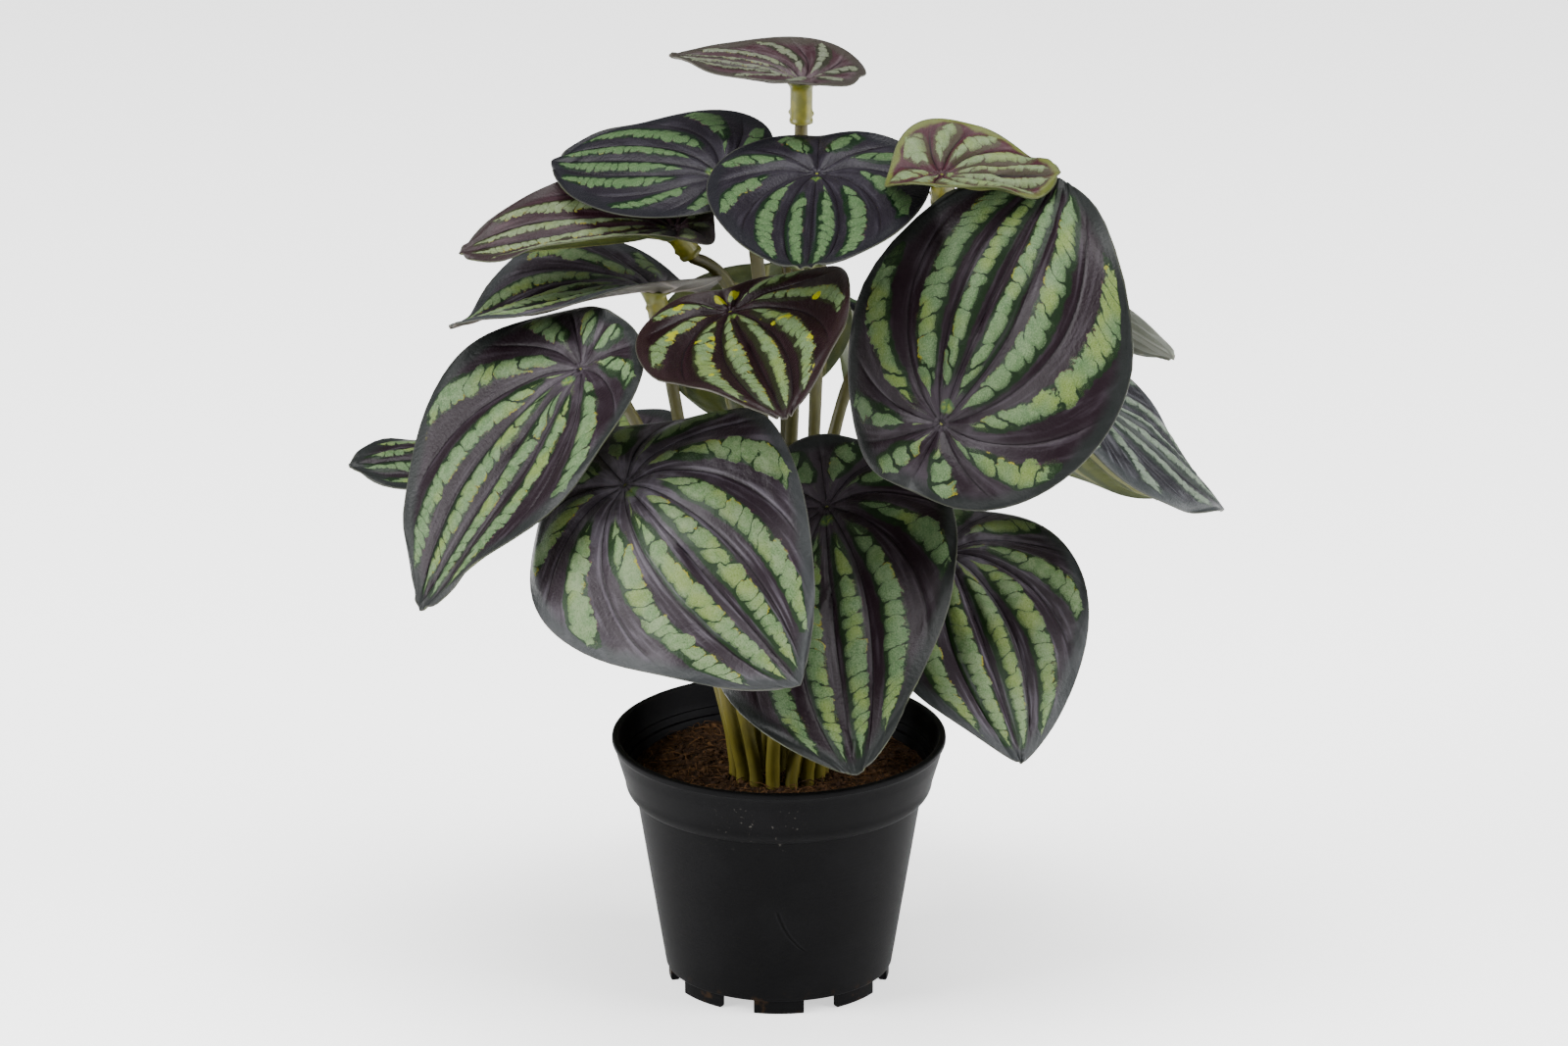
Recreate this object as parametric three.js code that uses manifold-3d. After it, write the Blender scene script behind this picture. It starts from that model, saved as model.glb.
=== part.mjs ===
// A potted peperomia: a nursery pot, its fibre soil, and leaves on long round petioles.
// Millimetres, +Z up, the pot's axis on Z, its feet on z = 0, the front of the plant towards -Y.
import * as THREE from "three";
import { mergeVertices } from "three/addons/utils/BufferGeometryUtils.js";
import Module from "manifold-3d";

const wasm = await Module();
wasm.setup();

// Pot
const POT_HEIGHT = 81;
const RIM_RADIUS = 52.5;
const LIP_HEIGHT = 1.6;
const LIP_WIDTH = 1.6;
const LIP_ROUND = 0.5;
const LIP_Z = POT_HEIGHT - LIP_HEIGHT;
const NECK_HEIGHT = 4;
const WALL = 1.3;
const EDGE_ROUND = 0.8;
const COLLAR_TOP_RADIUS = 51;
const COLLAR_LOW_RADIUS = 48.4;
const COLLAR_LOW_Z = 66.6;
const SHOULDER_Z = 62;
const BODY_TOP_RADIUS = 45;
const BODY_LOW_RADIUS = 35.9;
const SHOULDER_STEPS = 3;
const STEP_LOW_Z = 70.4;
const STEP_HIGH_Z = 72.8;
const STEP_BEVEL = 0.4;
const STEP_LOW_WIDTH = 1.5;
const STEP_HIGH_WIDTH = 0.9;
const FOOT_HEIGHT = 4.5;
const FOOT_COUNT = 8;
const FOOT_ANGLE = THREE.MathUtils.degToRad(26);
const FOOT_OUTER_RADIUS = 35;
const FOOT_DEPTH = 2.6;
const FOOT_ROOT = 1;
const FOOT_SEGMENTS = 4;
const FLOOR_THICKNESS = 2;
const DRAIN_COUNT = 6;
const DRAIN_RADIUS = 3;
const DRAIN_SIDES = 8;
const DRAIN_CIRCLE = 21;
const POT_SIDES = 32;

// Soil
const SOIL_LEVEL = 68;
const SOIL_EDGE_DIP = 0.3;
const SOIL_INSET = 0.5;
const LUMP_HEIGHT = 0.35;
const SOIL_SIDES = 30;
const SOIL_RINGS = 2;
const GAP = 0.3;
const FLAT_ENOUGH = 0.03;

// Petioles and their holes
const STEM_RADIUS = 2;
const STEM_SIDES = 6;
const STEM_STEPS = 8;
const HOLE_RADIUS = 2.6;
const HOLE_DEPTH = 9;
const HOLE_CLEAR = 0.4;
const FOOT_RISE = 12;
const LEAN = 2;
const INNER_RING = 6.8;
const OUTER_RING = 13.6;

// Sockets under the leaves
const SOCKET_RADIUS = 3.4;
const SOCKET_SIDES = 8;
const SOCKET_BORE = 2.5;
const SOCKET_PLUG = 7;
const SOCKET_FLARE_RADIUS = 5;
const SOCKET_FLARE_HEIGHT = 2.4;
const SOCKET_ROOT = 0.55;
const SLEEVE_TOP = 1.5;

// Leaves
const BLADE = 0.85;
const POLE = 1.05;
const BASE_POWER = 0.5;
const NOTCH_WIDTH = 0.13;
const WAVE_CENTRE = 0.28;
const CURL_START = 0.55;
const RIB_STEPS = 40;
const PILLOW = 1.3;
const NAVEL_DEPTH = 2.2;
const NAVEL_RADIUS = 7;
const VEIN_DEGREES = [0, 27, 62, 100, 135, 180];
const RAYS_IN_BAND = [2, 3, 2, 2, 2];
const RING_SHARES = [0.24, 0.52, 0.79, 1];

// Each leaf: where its petiole meets it, the heading of its tip (0 is +X, -90 the front), how far
// the tip droops, how far its left side is lifted, and its length. The rest are its own departures
// from the usual leaf: width, lobe, notch, dome and wave are shares of the length, the bend of the
// midrib and the curl of the tip are degrees, and skew makes the left half wider. The petiole's
// socket is splayed from square towards the lobe; reach and rise are how far the petiole runs on
// straight at its head and foot before it bends, and bow shifts the bend sideways.
const USUAL = {
  width: 0.77, lobe: 0.22, taper: 0.84, skew: 0, notch: 0.02,
  bend: 10, dome: 0.02, curl: 0, wave: 0.02, phase: 0, socket: 10, splay: 15, reach: 26, rise: 60,
  bow: [0, 0], ring: 2,
};
const LEAVES = [
  { name: "top", at: [7, 14, 291.5], heading: 165, droop: -2, roll: 1, length: 62, lobe: 0.32,
    skew: -0.04, bend: -6, dome: -0.062, curl: -4, wave: -0.01, phase: -37, socket: 13, ring: 0,
    bow: [3, -5], rise: 85, reach: 26, splay: 2 },
  { name: "upper_left", at: [-18, -2, 266], heading: 150, droop: 1, roll: -20, length: 77,
    lobe: 0.19, skew: -0.01, bend: 12, dome: 0, wave: 0.012, phase: 14, ring: 1, rise: 45,
    reach: 27, splay: 26 },
  { name: "crown", at: [11.5, -14, 270], heading: -93, droop: 14, roll: 2, length: 88, width: 0.77,
    lobe: 0.255, taper: 0.91, skew: 0.03, bend: 1, dome: 0, curl: -31, wave: -0.005, phase: 8,
    ring: 1, rise: 60, reach: 24, splay: 14 },
  { name: "upper_right", at: [49, -29, 274.2], heading: -17, droop: 2, roll: 16, length: 55,
    width: 0.74, lobe: 0.31, taper: 0.94, skew: -0.04, bend: -5, dome: -0.12, curl: -13,
    wave: -0.05, phase: 18, ring: 1, bow: [3, 0], rise: 65, reach: 28, splay: 1 },
  { name: "left_maroon", at: [-32, -2, 249], heading: 182, droop: 2, roll: -6, length: 81,
    lobe: 0.18, taper: 0.88, notch: 0.03, bend: 12, dome: -0.12, curl: -11, wave: 0.022, phase: 22,
    ring: 1, bow: [14, 13], rise: 166, reach: 4, splay: 30 },
  { name: "left_grey", at: [-38, 8, 226], heading: 203, droop: -7, roll: 6, length: 87, lobe: 0.21,
    taper: 0.8, skew: 0.02, bend: 27, dome: -0.097, curl: -9, wave: -0.028, phase: 20, bow: [5, 0],
    rise: 65, reach: 27, splay: 15 },
  { name: "big_left", at: [-61, -38, 215], heading: -149, droop: 45, roll: -2, length: 109,
    lobe: 0.194, taper: 0.8, skew: -0.017, bend: 9, dome: -0.056, curl: -5, wave: -0.024,
    phase: -52, rise: 60, reach: 18, splay: 10 },
  { name: "far_left", at: [-51, 34, 165], heading: 189, droop: 0, roll: 4, length: 110, lobe: 0.23,
    bend: 5, dome: 0, curl: -2, wave: 0.027, phase: -12, rise: 65, reach: 6, splay: 17 },
  { name: "lower_left", at: [-47, -64, 187], heading: -64, droop: 10, roll: 38, length: 118,
    taper: 0.88, notch: -0.01, bend: 60, dome: 0.063, curl: 6, wave: 0.038, phase: 45,
    bow: [-2, 5], rise: 60, reach: 34, splay: 25 },
  { name: "centre_maroon", at: [-15, -45, 236], heading: -76, droop: 10, roll: 17, length: 87,
    lobe: 0.19, taper: 0.81, skew: 0.05, notch: 0.105, bend: -7, dome: -0.058, curl: 6, wave: 0.03,
    phase: 48, ring: 1, bow: [2, 6], rise: 95, reach: 40, splay: 26 },
  { name: "big_right", at: [48, -68, 207], heading: 34, droop: -64, roll: 27, length: 109,
    width: 0.825, lobe: 0.23, taper: 0.6, skew: -0.09, notch: 0.034, bend: 13, dome: 0.044,
    curl: 9, wave: 0.036, phase: 64, bow: [16, 22], rise: 130, reach: 33, splay: 5 },
  { name: "lower_centre", at: [14, -36, 170], heading: -87, droop: 36, roll: 26, length: 115,
    lobe: 0.2, taper: 0.79, skew: -0.1, notch: 0, bend: 10, dome: 0.087, curl: 6, wave: 0.03,
    phase: 42, rise: 40, reach: 6, splay: 11 },
  { name: "lower_right", at: [51, -26, 152], heading: -71, droop: 24, roll: 6, length: 102,
    width: 0.71, skew: 0.063, bend: 26, dome: 0.029, wave: 0.021, phase: 9, bow: [-1, 3], rise: 60,
    reach: 6, splay: 19, taper: 0.81, curl: -1 },
  { name: "right_grey", at: [95, -14, 197], heading: 19, droop: 32, roll: 21, length: 85,
    lobe: 0.24, taper: 0.87, bend: 26, dome: 0.025, phase: -31, bow: [-4, 9], rise: 100, reach: 29,
    splay: 30 },
  { name: "right_under", at: [86, 28, 178], heading: 21, droop: 38, roll: -41, length: 63,
    lobe: 0.23, taper: 0.85, bend: 10, dome: 0.037, phase: 8, bow: [-4, -1], rise: 65, reach: 9,
    splay: 16 },
  { name: "right_back", at: [91, 22, 219], heading: 3, droop: 37, roll: -35, length: 52,
    lobe: 0.24, bend: -3, dome: 0.044, curl: -5, wave: 0.01, phase: -28, rise: 70, reach: 17,
    splay: 14 },
  { name: "back_left", at: [-5, 38, 213], heading: 98, droop: 54, roll: 1, length: 92, width: 0.68,
    skew: 0.08, bend: 0, dome: 0.033, wave: 0.013, phase: -18, rise: 55, reach: 8, splay: 10 },
  { name: "back_right", at: [34, 58, 197], heading: 70, droop: 43, roll: 19, length: 88, bend: 29,
    dome: 0, skew: -0.03, wave: 0.04, phase: -44, rise: 60, reach: 19, splay: 10 },
  { name: "rear_high", at: [5, 33, 249], heading: 80, droop: 24, roll: 0, length: 84, bend: 20,
    ring: 1, rise: 60, reach: 26, splay: 12 },
  { name: "rear_left", at: [-36, 55, 127], heading: 132, droop: 30, roll: 14, length: 84, bend: 22,
    bow: [5, -4], rise: 40, reach: 23, splay: 12 },
  { name: "rear_middle", at: [-2, 62, 140], heading: 94, droop: 36, roll: 0, length: 106, bend: 18,
    wave: 0.03, phase: 70, bow: [-1, -3], rise: 45, reach: 29, splay: 15 },
  { name: "rear_right", at: [38, 50, 135], heading: 62, droop: 30, roll: 0, length: 98, bend: 22,
    phase: 140, bow: [-3, -2], rise: 45, reach: 24, splay: 18 },
].map((leaf) => ({ ...USUAL, ...leaf }));

const COLOURS = {
  pot: { color: 0x2b2b2d, roughness: 0.6, metalness: 0 },
  soil: { color: 0x4a3023, roughness: 0.95, metalness: 0 },
  leaf: { color: 0x3c5038, roughness: 0.42, metalness: 0 },
  stem: { color: 0x6b6a25, roughness: 0.5, metalness: 0 },
};

// A closed solid from a geometry, for cutting and joining.
function solidOf(geometry) {
  const bare = geometry.clone();
  bare.deleteAttribute("normal");
  bare.deleteAttribute("uv");
  const merged = mergeVertices(bare, 1e-4);
  return new wasm.Manifold(
    new wasm.Mesh({
      numProp: 3,
      vertProperties: merged.attributes.position.array,
      triVerts: new Uint32Array(merged.index.array),
    }),
  );
}

function geometryOf(solid) {
  const mesh = solid.getMesh();
  const geometry = new THREE.BufferGeometry();
  geometry.setAttribute("position", new THREE.BufferAttribute(mesh.vertProperties, 3));
  geometry.setIndex(new THREE.BufferAttribute(mesh.triVerts, 1));
  geometry.computeVertexNormals();
  return geometry;
}

function named(name, geometry, look) {
  const mesh = new THREE.Mesh(geometry, new THREE.MeshStandardMaterial(look));
  mesh.name = name;
  return mesh;
}

// Lathe around Z from a profile of radius and height.
function turned(profile, sides) {
  const points = profile.map(([radius, z]) => new THREE.Vector2(radius, z));
  return new THREE.LatheGeometry(points, sides).rotateX(Math.PI / 2);
}

// Rod of a round section along a curve.
function rod(curve, radius, sides, steps) {
  const section = new THREE.Shape();
  for (let i = 0; i < sides; i++) {
    const angle = (2 * Math.PI * i) / sides;
    const x = radius * Math.cos(angle);
    const y = radius * Math.sin(angle);
    if (i === 0) section.moveTo(x, y);
    else section.lineTo(x, y);
  }
  section.closePath();
  return new THREE.ExtrudeGeometry(section, { steps, extrudePath: curve });
}

// A petiole: upright in its hole, a long bend, then straight into the socket.
// Its first and last steps are the straight ends, so equal shares are equal steps here.
class Petiole extends THREE.Curve {
  constructor(foot, bend, head) {
    super();
    this.foot = foot;
    this.bend = bend;
    this.head = head;
  }
  getPoint(share, target = new THREE.Vector3()) {
    const end = 1 / STEM_STEPS;
    if (share < end) return target.lerpVectors(this.foot, this.bend.v0, share / end);
    if (share > 1 - end) return target.lerpVectors(this.bend.v3, this.head, (share - 1 + end) / end);
    return this.bend.getPoint((share - end) / (1 - 2 * end), target);
  }
  getUtoTmapping(share) {
    return share;
  }
}

// Pot: lip, collar, rounded shoulder, tapered wall, floor with drain holes, and feet
function outerWall() {
  const shoulder = [];
  for (let i = SHOULDER_STEPS - 1; i >= 0; i--) {
    const turn = (i / SHOULDER_STEPS) * (Math.PI / 2);
    const inward = (COLLAR_LOW_RADIUS - BODY_TOP_RADIUS) * (1 - Math.cos(turn));
    const downward = (COLLAR_LOW_Z - SHOULDER_Z) * Math.sin(turn);
    shoulder.push([COLLAR_LOW_RADIUS - inward, COLLAR_LOW_Z - downward]);
  }
  return [
    [BODY_LOW_RADIUS - EDGE_ROUND, FOOT_HEIGHT],
    [BODY_LOW_RADIUS, FOOT_HEIGHT + EDGE_ROUND],
    [BODY_TOP_RADIUS, SHOULDER_Z],
    ...shoulder,
    [COLLAR_TOP_RADIUS, LIP_Z - NECK_HEIGHT],
    [COLLAR_TOP_RADIUS + EDGE_ROUND, LIP_Z - EDGE_ROUND],
    [RIM_RADIUS, LIP_Z],
    [RIM_RADIUS, POT_HEIGHT - LIP_ROUND],
    [RIM_RADIUS - LIP_ROUND, POT_HEIGHT],
  ];
}

// The wall inside the collar comes down in two small steps.
function innerWall() {
  const low = COLLAR_LOW_RADIUS - WALL;
  const middle = low + STEP_LOW_WIDTH;
  return [
    [RIM_RADIUS - LIP_WIDTH, POT_HEIGHT],
    [RIM_RADIUS - LIP_WIDTH - LIP_ROUND, POT_HEIGHT - LIP_ROUND],
    [COLLAR_TOP_RADIUS - WALL, LIP_Z - NECK_HEIGHT],
    [middle + STEP_HIGH_WIDTH, STEP_HIGH_Z + STEP_BEVEL],
    [middle, STEP_HIGH_Z],
    [middle, STEP_LOW_Z + STEP_BEVEL],
    [low, STEP_LOW_Z],
    [low, COLLAR_LOW_Z],
    [BODY_TOP_RADIUS - WALL, SHOULDER_Z],
    [BODY_LOW_RADIUS - WALL, FOOT_HEIGHT + FLOOR_THICKNESS],
  ];
}

function foot(index) {
  const middle = -Math.PI / 2 + (index * 2 * Math.PI) / FOOT_COUNT;
  const from = middle - FOOT_ANGLE / 2;
  const to = middle + FOOT_ANGLE / 2;
  const shape = new THREE.Shape();
  shape.absarc(0, 0, FOOT_OUTER_RADIUS, from, to, false);
  shape.absarc(0, 0, FOOT_OUTER_RADIUS - FOOT_DEPTH, to, from, true);
  shape.closePath();
  const depth = FOOT_HEIGHT + FOOT_ROOT;
  return new THREE.ExtrudeGeometry(shape, { depth, bevelEnabled: false, curveSegments: FOOT_SEGMENTS });
}

function pot() {
  const profile = [[0, FOOT_HEIGHT], ...outerWall(), ...innerWall(), [0, FOOT_HEIGHT + FLOOR_THICKNESS]];
  let solid = solidOf(turned(profile, POT_SIDES));
  for (let i = 0; i < FOOT_COUNT; i++) {
    solid = solid.add(solidOf(foot(i)));
  }
  for (let i = 0; i < DRAIN_COUNT; i++) {
    const angle = (i * 2 * Math.PI) / DRAIN_COUNT;
    const drain = new THREE.CylinderGeometry(DRAIN_RADIUS, DRAIN_RADIUS, 4 * FLOOR_THICKNESS, DRAIN_SIDES)
      .rotateX(Math.PI / 2)
      .translate(DRAIN_CIRCLE * Math.cos(angle), DRAIN_CIRCLE * Math.sin(angle), FOOT_HEIGHT);
    solid = solid.subtract(solidOf(drain));
  }
  return named("pot", geometryOf(solid.simplify(FLAT_ENOUGH)), COLOURS.pot);
}

// Soil: the plug inside the wall, its top raised and dipped a little, with a hole for each petiole
function soilTop(radius, angle) {
  const edge = BODY_TOP_RADIUS;
  const lumps = LUMP_HEIGHT * (Math.sin(3 * angle + 1) + Math.cos(5 * angle - radius / 9));
  return SOIL_LEVEL - SOIL_EDGE_DIP * (radius / edge) ** 3 + lumps * Math.min(1, radius / edge);
}

function soilPlug() {
  const floor = FOOT_HEIGHT + FLOOR_THICKNESS + GAP;
  const edge = COLLAR_LOW_RADIUS - WALL - SOIL_INSET;
  const profile = [
    [0, floor],
    [BODY_LOW_RADIUS - WALL - SOIL_INSET, floor],
    [BODY_TOP_RADIUS - WALL - SOIL_INSET, SHOULDER_Z],
    [edge, COLLAR_LOW_Z],
  ];
  for (let i = SOIL_RINGS; i >= 0; i--) {
    profile.push([(edge * i) / SOIL_RINGS, SOIL_LEVEL]);
  }
  const geometry = turned(profile, SOIL_SIDES);
  const position = geometry.attributes.position;
  for (let i = 0; i < position.count; i++) {
    if (position.getZ(i) < COLLAR_LOW_Z + GAP) continue;
    const radius = Math.hypot(position.getX(i), position.getY(i));
    position.setZ(i, soilTop(radius, Math.atan2(position.getY(i), position.getX(i))));
  }
  return solidOf(geometry);
}

function soil(feet) {
  let solid = soilPlug();
  for (const at of feet) {
    const hole = new THREE.CylinderGeometry(HOLE_RADIUS, HOLE_RADIUS, 2 * HOLE_DEPTH, SOCKET_SIDES)
      .rotateX(Math.PI / 2)
      .translate(at.x, at.y, SOIL_LEVEL);
    solid = solid.subtract(solidOf(hole));
  }
  return named("soil", geometryOf(solid.simplify(FLAT_ENOUGH)), COLOURS.soil);
}

// Where the petioles stand: one in the middle and two rings, each turned to face its leaf
function standingPlaces() {
  const places = new Map();
  const byDirection = (a, b) => Math.atan2(a.at[1], a.at[0]) - Math.atan2(b.at[1], b.at[0]);
  [[0, 0], [1, INNER_RING], [2, OUTER_RING]].forEach(([ring, radius]) => {
    const group = LEAVES.filter((leaf) => leaf.ring === ring).sort(byDirection);
    const step = (2 * Math.PI) / group.length;
    let turn = 0;
    group.forEach((leaf, i) => {
      turn += (Math.atan2(leaf.at[1], leaf.at[0]) + Math.PI - i * step) / group.length;
    });
    group.forEach((leaf, i) => {
      const angle = turn - Math.PI + i * step;
      places.set(leaf.name, new THREE.Vector3(radius * Math.cos(angle), radius * Math.sin(angle), 0));
    });
  });
  return places;
}

// The blade drawn flat: the petiole meets it at 0, 0 and the tip lies along +x
function insideOutline(leaf, x, y) {
  const sunk = x < 0 ? leaf.notch * Math.exp(-((y / (NOTCH_WIDTH * leaf.length)) ** 2)) : 0;
  const along = x / leaf.length + leaf.lobe - sunk;
  if (along <= 0 || along >= 1) return false;
  const peak = BASE_POWER / (BASE_POWER + leaf.taper);
  const top = peak ** BASE_POWER * (1 - peak) ** leaf.taper;
  const half = (0.5 * leaf.width * leaf.length * along ** BASE_POWER * (1 - along) ** leaf.taper) / top;
  return Math.abs(y) < half * (y > 0 ? 1 + leaf.skew : 1 - leaf.skew);
}

// A vein is an arc that leaves the petiole at an angle to the midrib and bends back to the tip.
function veinPoint(leaf, share, angle) {
  const pole = POLE * (1 - leaf.lobe) * leaf.length;
  const turn = Math.abs(angle) < 1e-4 ? 1e-4 : angle;
  const reach = (pole * Math.sin(share * turn)) / Math.sin(turn);
  return [reach * Math.cos(turn * (1 - share)), reach * Math.sin(turn * (1 - share))];
}

// Share of a vein's arc that lies inside the outline: step out, then halve
function marginShare(leaf, angle) {
  const step = 1 / 60;
  let inner = 0;
  while (inner + step < 1 && insideOutline(leaf, ...veinPoint(leaf, inner + step, angle))) inner += step;
  let outer = inner + step;
  for (let i = 0; i < 20; i++) {
    const middle = (inner + outer) / 2;
    if (insideOutline(leaf, ...veinPoint(leaf, middle, angle))) inner = middle;
    else outer = middle;
  }
  return inner;
}

// The midrib bends as an arc, with more bend at a curled tip: x, z and slope at a share of its length
function midrib(leaf, share) {
  const slopeAt = (at) => {
    const curled = THREE.MathUtils.clamp((at - CURL_START) / (1 - CURL_START), 0, 2);
    return THREE.MathUtils.degToRad(leaf.bend * at + leaf.curl * curled ** 2);
  };
  let x = 0;
  let z = 0;
  for (let i = 0; i < RIB_STEPS; i++) {
    const slope = slopeAt((share * (i + 0.5)) / RIB_STEPS);
    x += (Math.cos(slope) * share) / RIB_STEPS;
    z -= (Math.sin(slope) * share) / RIB_STEPS;
  }
  return { x, z, slope: slopeAt(share) };
}

// Height of the pillows between the veins, less the funnel over the petiole
function relief(flat) {
  const fade = Math.min(1, flat.share * 3) * Math.max(0, 1 - flat.share ** 4);
  const radius = Math.hypot(flat.x, flat.y);
  return PILLOW * flat.pillow * fade - NAVEL_DEPTH * Math.exp(-((radius / NAVEL_RADIUS) ** 2));
}

function midSurface(leaf, flat) {
  const reach = (1 - leaf.lobe) * leaf.length;
  const width = leaf.width * leaf.length;
  const rib = midrib(leaf, flat.x / reach);
  const around = Math.atan2(flat.y / width, flat.x / leaf.length - WAVE_CENTRE);
  const phase = THREE.MathUtils.degToRad(leaf.phase);
  const wave = Math.sin(3 * around + phase) + 0.5 * Math.sin(5 * around + 2 * phase);
  const lift =
    relief(flat) -
    leaf.dome * leaf.length * ((2 * flat.y) / width) ** 2 -
    leaf.wave * leaf.length * flat.share ** 2.5 * wave;
  return new THREE.Vector3(
    reach * rib.x + Math.sin(rib.slope) * lift,
    flat.y,
    reach * rib.z + Math.cos(rib.slope) * lift,
  );
}

// The rays of the blade's net: each vein and the lines between it and the next, on both sides
function rays() {
  const half = [];
  for (let band = 0; band + 1 < VEIN_DEGREES.length; band++) {
    for (let i = 0; i < RAYS_IN_BAND[band]; i++) {
      const share = i / RAYS_IN_BAND[band];
      const degrees = VEIN_DEGREES[band] + (VEIN_DEGREES[band + 1] - VEIN_DEGREES[band]) * share;
      half.push({ degrees, pillow: Math.sin(Math.PI * share) ** 2 });
    }
  }
  const back = { degrees: 180, pillow: 0 };
  const mirrored = half.slice(1).map((ray) => ({ ...ray, degrees: -ray.degrees }));
  return [...half, back, ...mirrored.reverse()];
}

// Blade: the net of rays and rings, on an upper and a lower face, closed around the margin
function blade(leaf) {
  const net = rays();
  const flats = [{ x: 0, y: 0, share: 0, pillow: 0 }];
  for (const ring of RING_SHARES) {
    for (const ray of net) {
      const angle = THREE.MathUtils.degToRad(THREE.MathUtils.clamp(ray.degrees, -179.9, 179.9));
      const [x, y] = veinPoint(leaf, ring * marginShare(leaf, angle), angle);
      flats.push({ x, y, share: ring, pillow: ray.pillow });
    }
  }
  const middle = flats.map((flat) => midSurface(leaf, flat));
  const faces = [];
  const at = (ring, ray) => 1 + ring * net.length + (ray % net.length);
  for (let ray = 0; ray < net.length; ray++) {
    faces.push([0, at(0, ray), at(0, ray + 1)]);
    for (let ring = 0; ring + 1 < RING_SHARES.length; ring++) {
      faces.push([at(ring, ray), at(ring + 1, ray), at(ring + 1, ray + 1)]);
      faces.push([at(ring, ray), at(ring + 1, ray + 1), at(ring, ray + 1)]);
    }
  }
  const normals = middle.map(() => new THREE.Vector3());
  const normal = new THREE.Vector3();
  for (const [a, b, c] of faces) {
    const side = middle[c].clone().sub(middle[a]);
    normal.copy(middle[b]).sub(middle[a]).cross(side);
    [a, b, c].forEach((corner) => normals[corner].add(normal));
  }
  const position = [];
  for (const side of [0.5, -0.5]) {
    middle.forEach((point, i) => {
      position.push(...point.clone().addScaledVector(normals[i].normalize(), side * BLADE).toArray());
    });
  }
  const under = middle.length;
  const index = faces.flatMap(([a, b, c]) => [a, b, c, a + under, c + under, b + under]);
  for (let ray = 0; ray < net.length; ray++) {
    const a = at(RING_SHARES.length - 1, ray);
    const b = at(RING_SHARES.length - 1, ray + 1);
    index.push(a, a + under, b, b, a + under, b + under);
  }
  const geometry = new THREE.BufferGeometry();
  geometry.setAttribute("position", new THREE.Float32BufferAttribute(position, 3));
  geometry.setIndex(index);
  return geometry;
}

// Place of a leaf: +x to its tip, +y to its left side, +z out of its upper face
function placeOf(leaf) {
  const heading = THREE.MathUtils.degToRad(leaf.heading);
  const droop = THREE.MathUtils.degToRad(leaf.droop);
  const roll = THREE.MathUtils.degToRad(leaf.roll);
  const tipward = new THREE.Vector3(
    Math.cos(droop) * Math.cos(heading),
    Math.cos(droop) * Math.sin(heading),
    -Math.sin(droop),
  );
  const level = new THREE.Vector3(-Math.sin(heading), Math.cos(heading), 0);
  const upright = tipward.clone().cross(level);
  const left = level.multiplyScalar(Math.cos(roll)).addScaledVector(upright, Math.sin(roll));
  const matrix = new THREE.Matrix4().makeBasis(tipward, left, tipward.clone().cross(left));
  return matrix.setPosition(...leaf.at);
}

// Point on the axis of a leaf's socket at a depth under the navel
function socketPoint(leaf, depth) {
  const splay = THREE.MathUtils.degToRad(leaf.splay);
  return new THREE.Vector3(-Math.sin(splay) * depth, 0, -NAVEL_DEPTH - Math.cos(splay) * depth);
}

// A petiole rises from its place in the soil, bends, and runs straight into its socket.
function petiole(leaf, place, foot) {
  const below = (depth) => socketPoint(leaf, depth).applyMatrix4(place);
  const start = new THREE.Vector3(foot.x, foot.y, SOIL_LEVEL - HOLE_DEPTH + HOLE_CLEAR);
  const free = new THREE.Vector3(foot.x, foot.y, start.z + FOOT_RISE);
  const above = new THREE.Vector3(
    foot.x * LEAN + leaf.bow[0], foot.y * LEAN + leaf.bow[1], free.z + leaf.rise,
  );
  const under = below(leaf.socket + leaf.reach);
  const bend = new THREE.CubicBezierCurve3(free, above, under, below(leaf.socket + 1));
  return new Petiole(start, bend, below(leaf.socket - SOCKET_PLUG));
}

// Cylinder from one depth under the navel to another, splayed with the socket
function underNavel(radiusAbove, radiusBelow, from, to, splay) {
  return new THREE.CylinderGeometry(radiusAbove, radiusBelow, to - from, SOCKET_SIDES)
    .rotateX(Math.PI / 2)
    .translate(0, 0, -(from + to) / 2)
    .rotateY(THREE.MathUtils.degToRad(splay))
    .translate(0, 0, -NAVEL_DEPTH);
}

function leafBody(leaf, place) {
  const flare = underNavel(SOCKET_FLARE_RADIUS, SOCKET_RADIUS, -SOCKET_ROOT, SOCKET_FLARE_HEIGHT, 0);
  const sleeve = underNavel(SOCKET_RADIUS, SOCKET_RADIUS, SLEEVE_TOP, leaf.socket, leaf.splay);
  const boreTop = leaf.socket - SOCKET_PLUG - GAP;
  const bore = underNavel(SOCKET_BORE, SOCKET_BORE, boreTop, leaf.socket + 1, leaf.splay);
  const solid = solidOf(blade(leaf)).add(solidOf(flare)).add(solidOf(sleeve)).subtract(solidOf(bore));
  const mesh = named("leaf_" + leaf.name, geometryOf(solid.simplify(FLAT_ENOUGH)), COLOURS.leaf);
  mesh.applyMatrix4(place);
  return mesh;
}

function stem(leaf, curve) {
  return named("stem_" + leaf.name, rod(curve, STEM_RADIUS, STEM_SIDES, STEM_STEPS), COLOURS.stem);
}

const group = new THREE.Group();
const feet = standingPlaces();
group.add(pot());
group.add(soil([...feet.values()]));
for (const leaf of LEAVES) {
  const place = placeOf(leaf);
  const curve = petiole(leaf, place, feet.get(leaf.name));
  group.add(leafBody(leaf, place));
  group.add(stem(leaf, curve));
}

export default group;
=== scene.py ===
import math

import bpy
import numpy as np
from mathutils import Matrix, Vector


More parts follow.
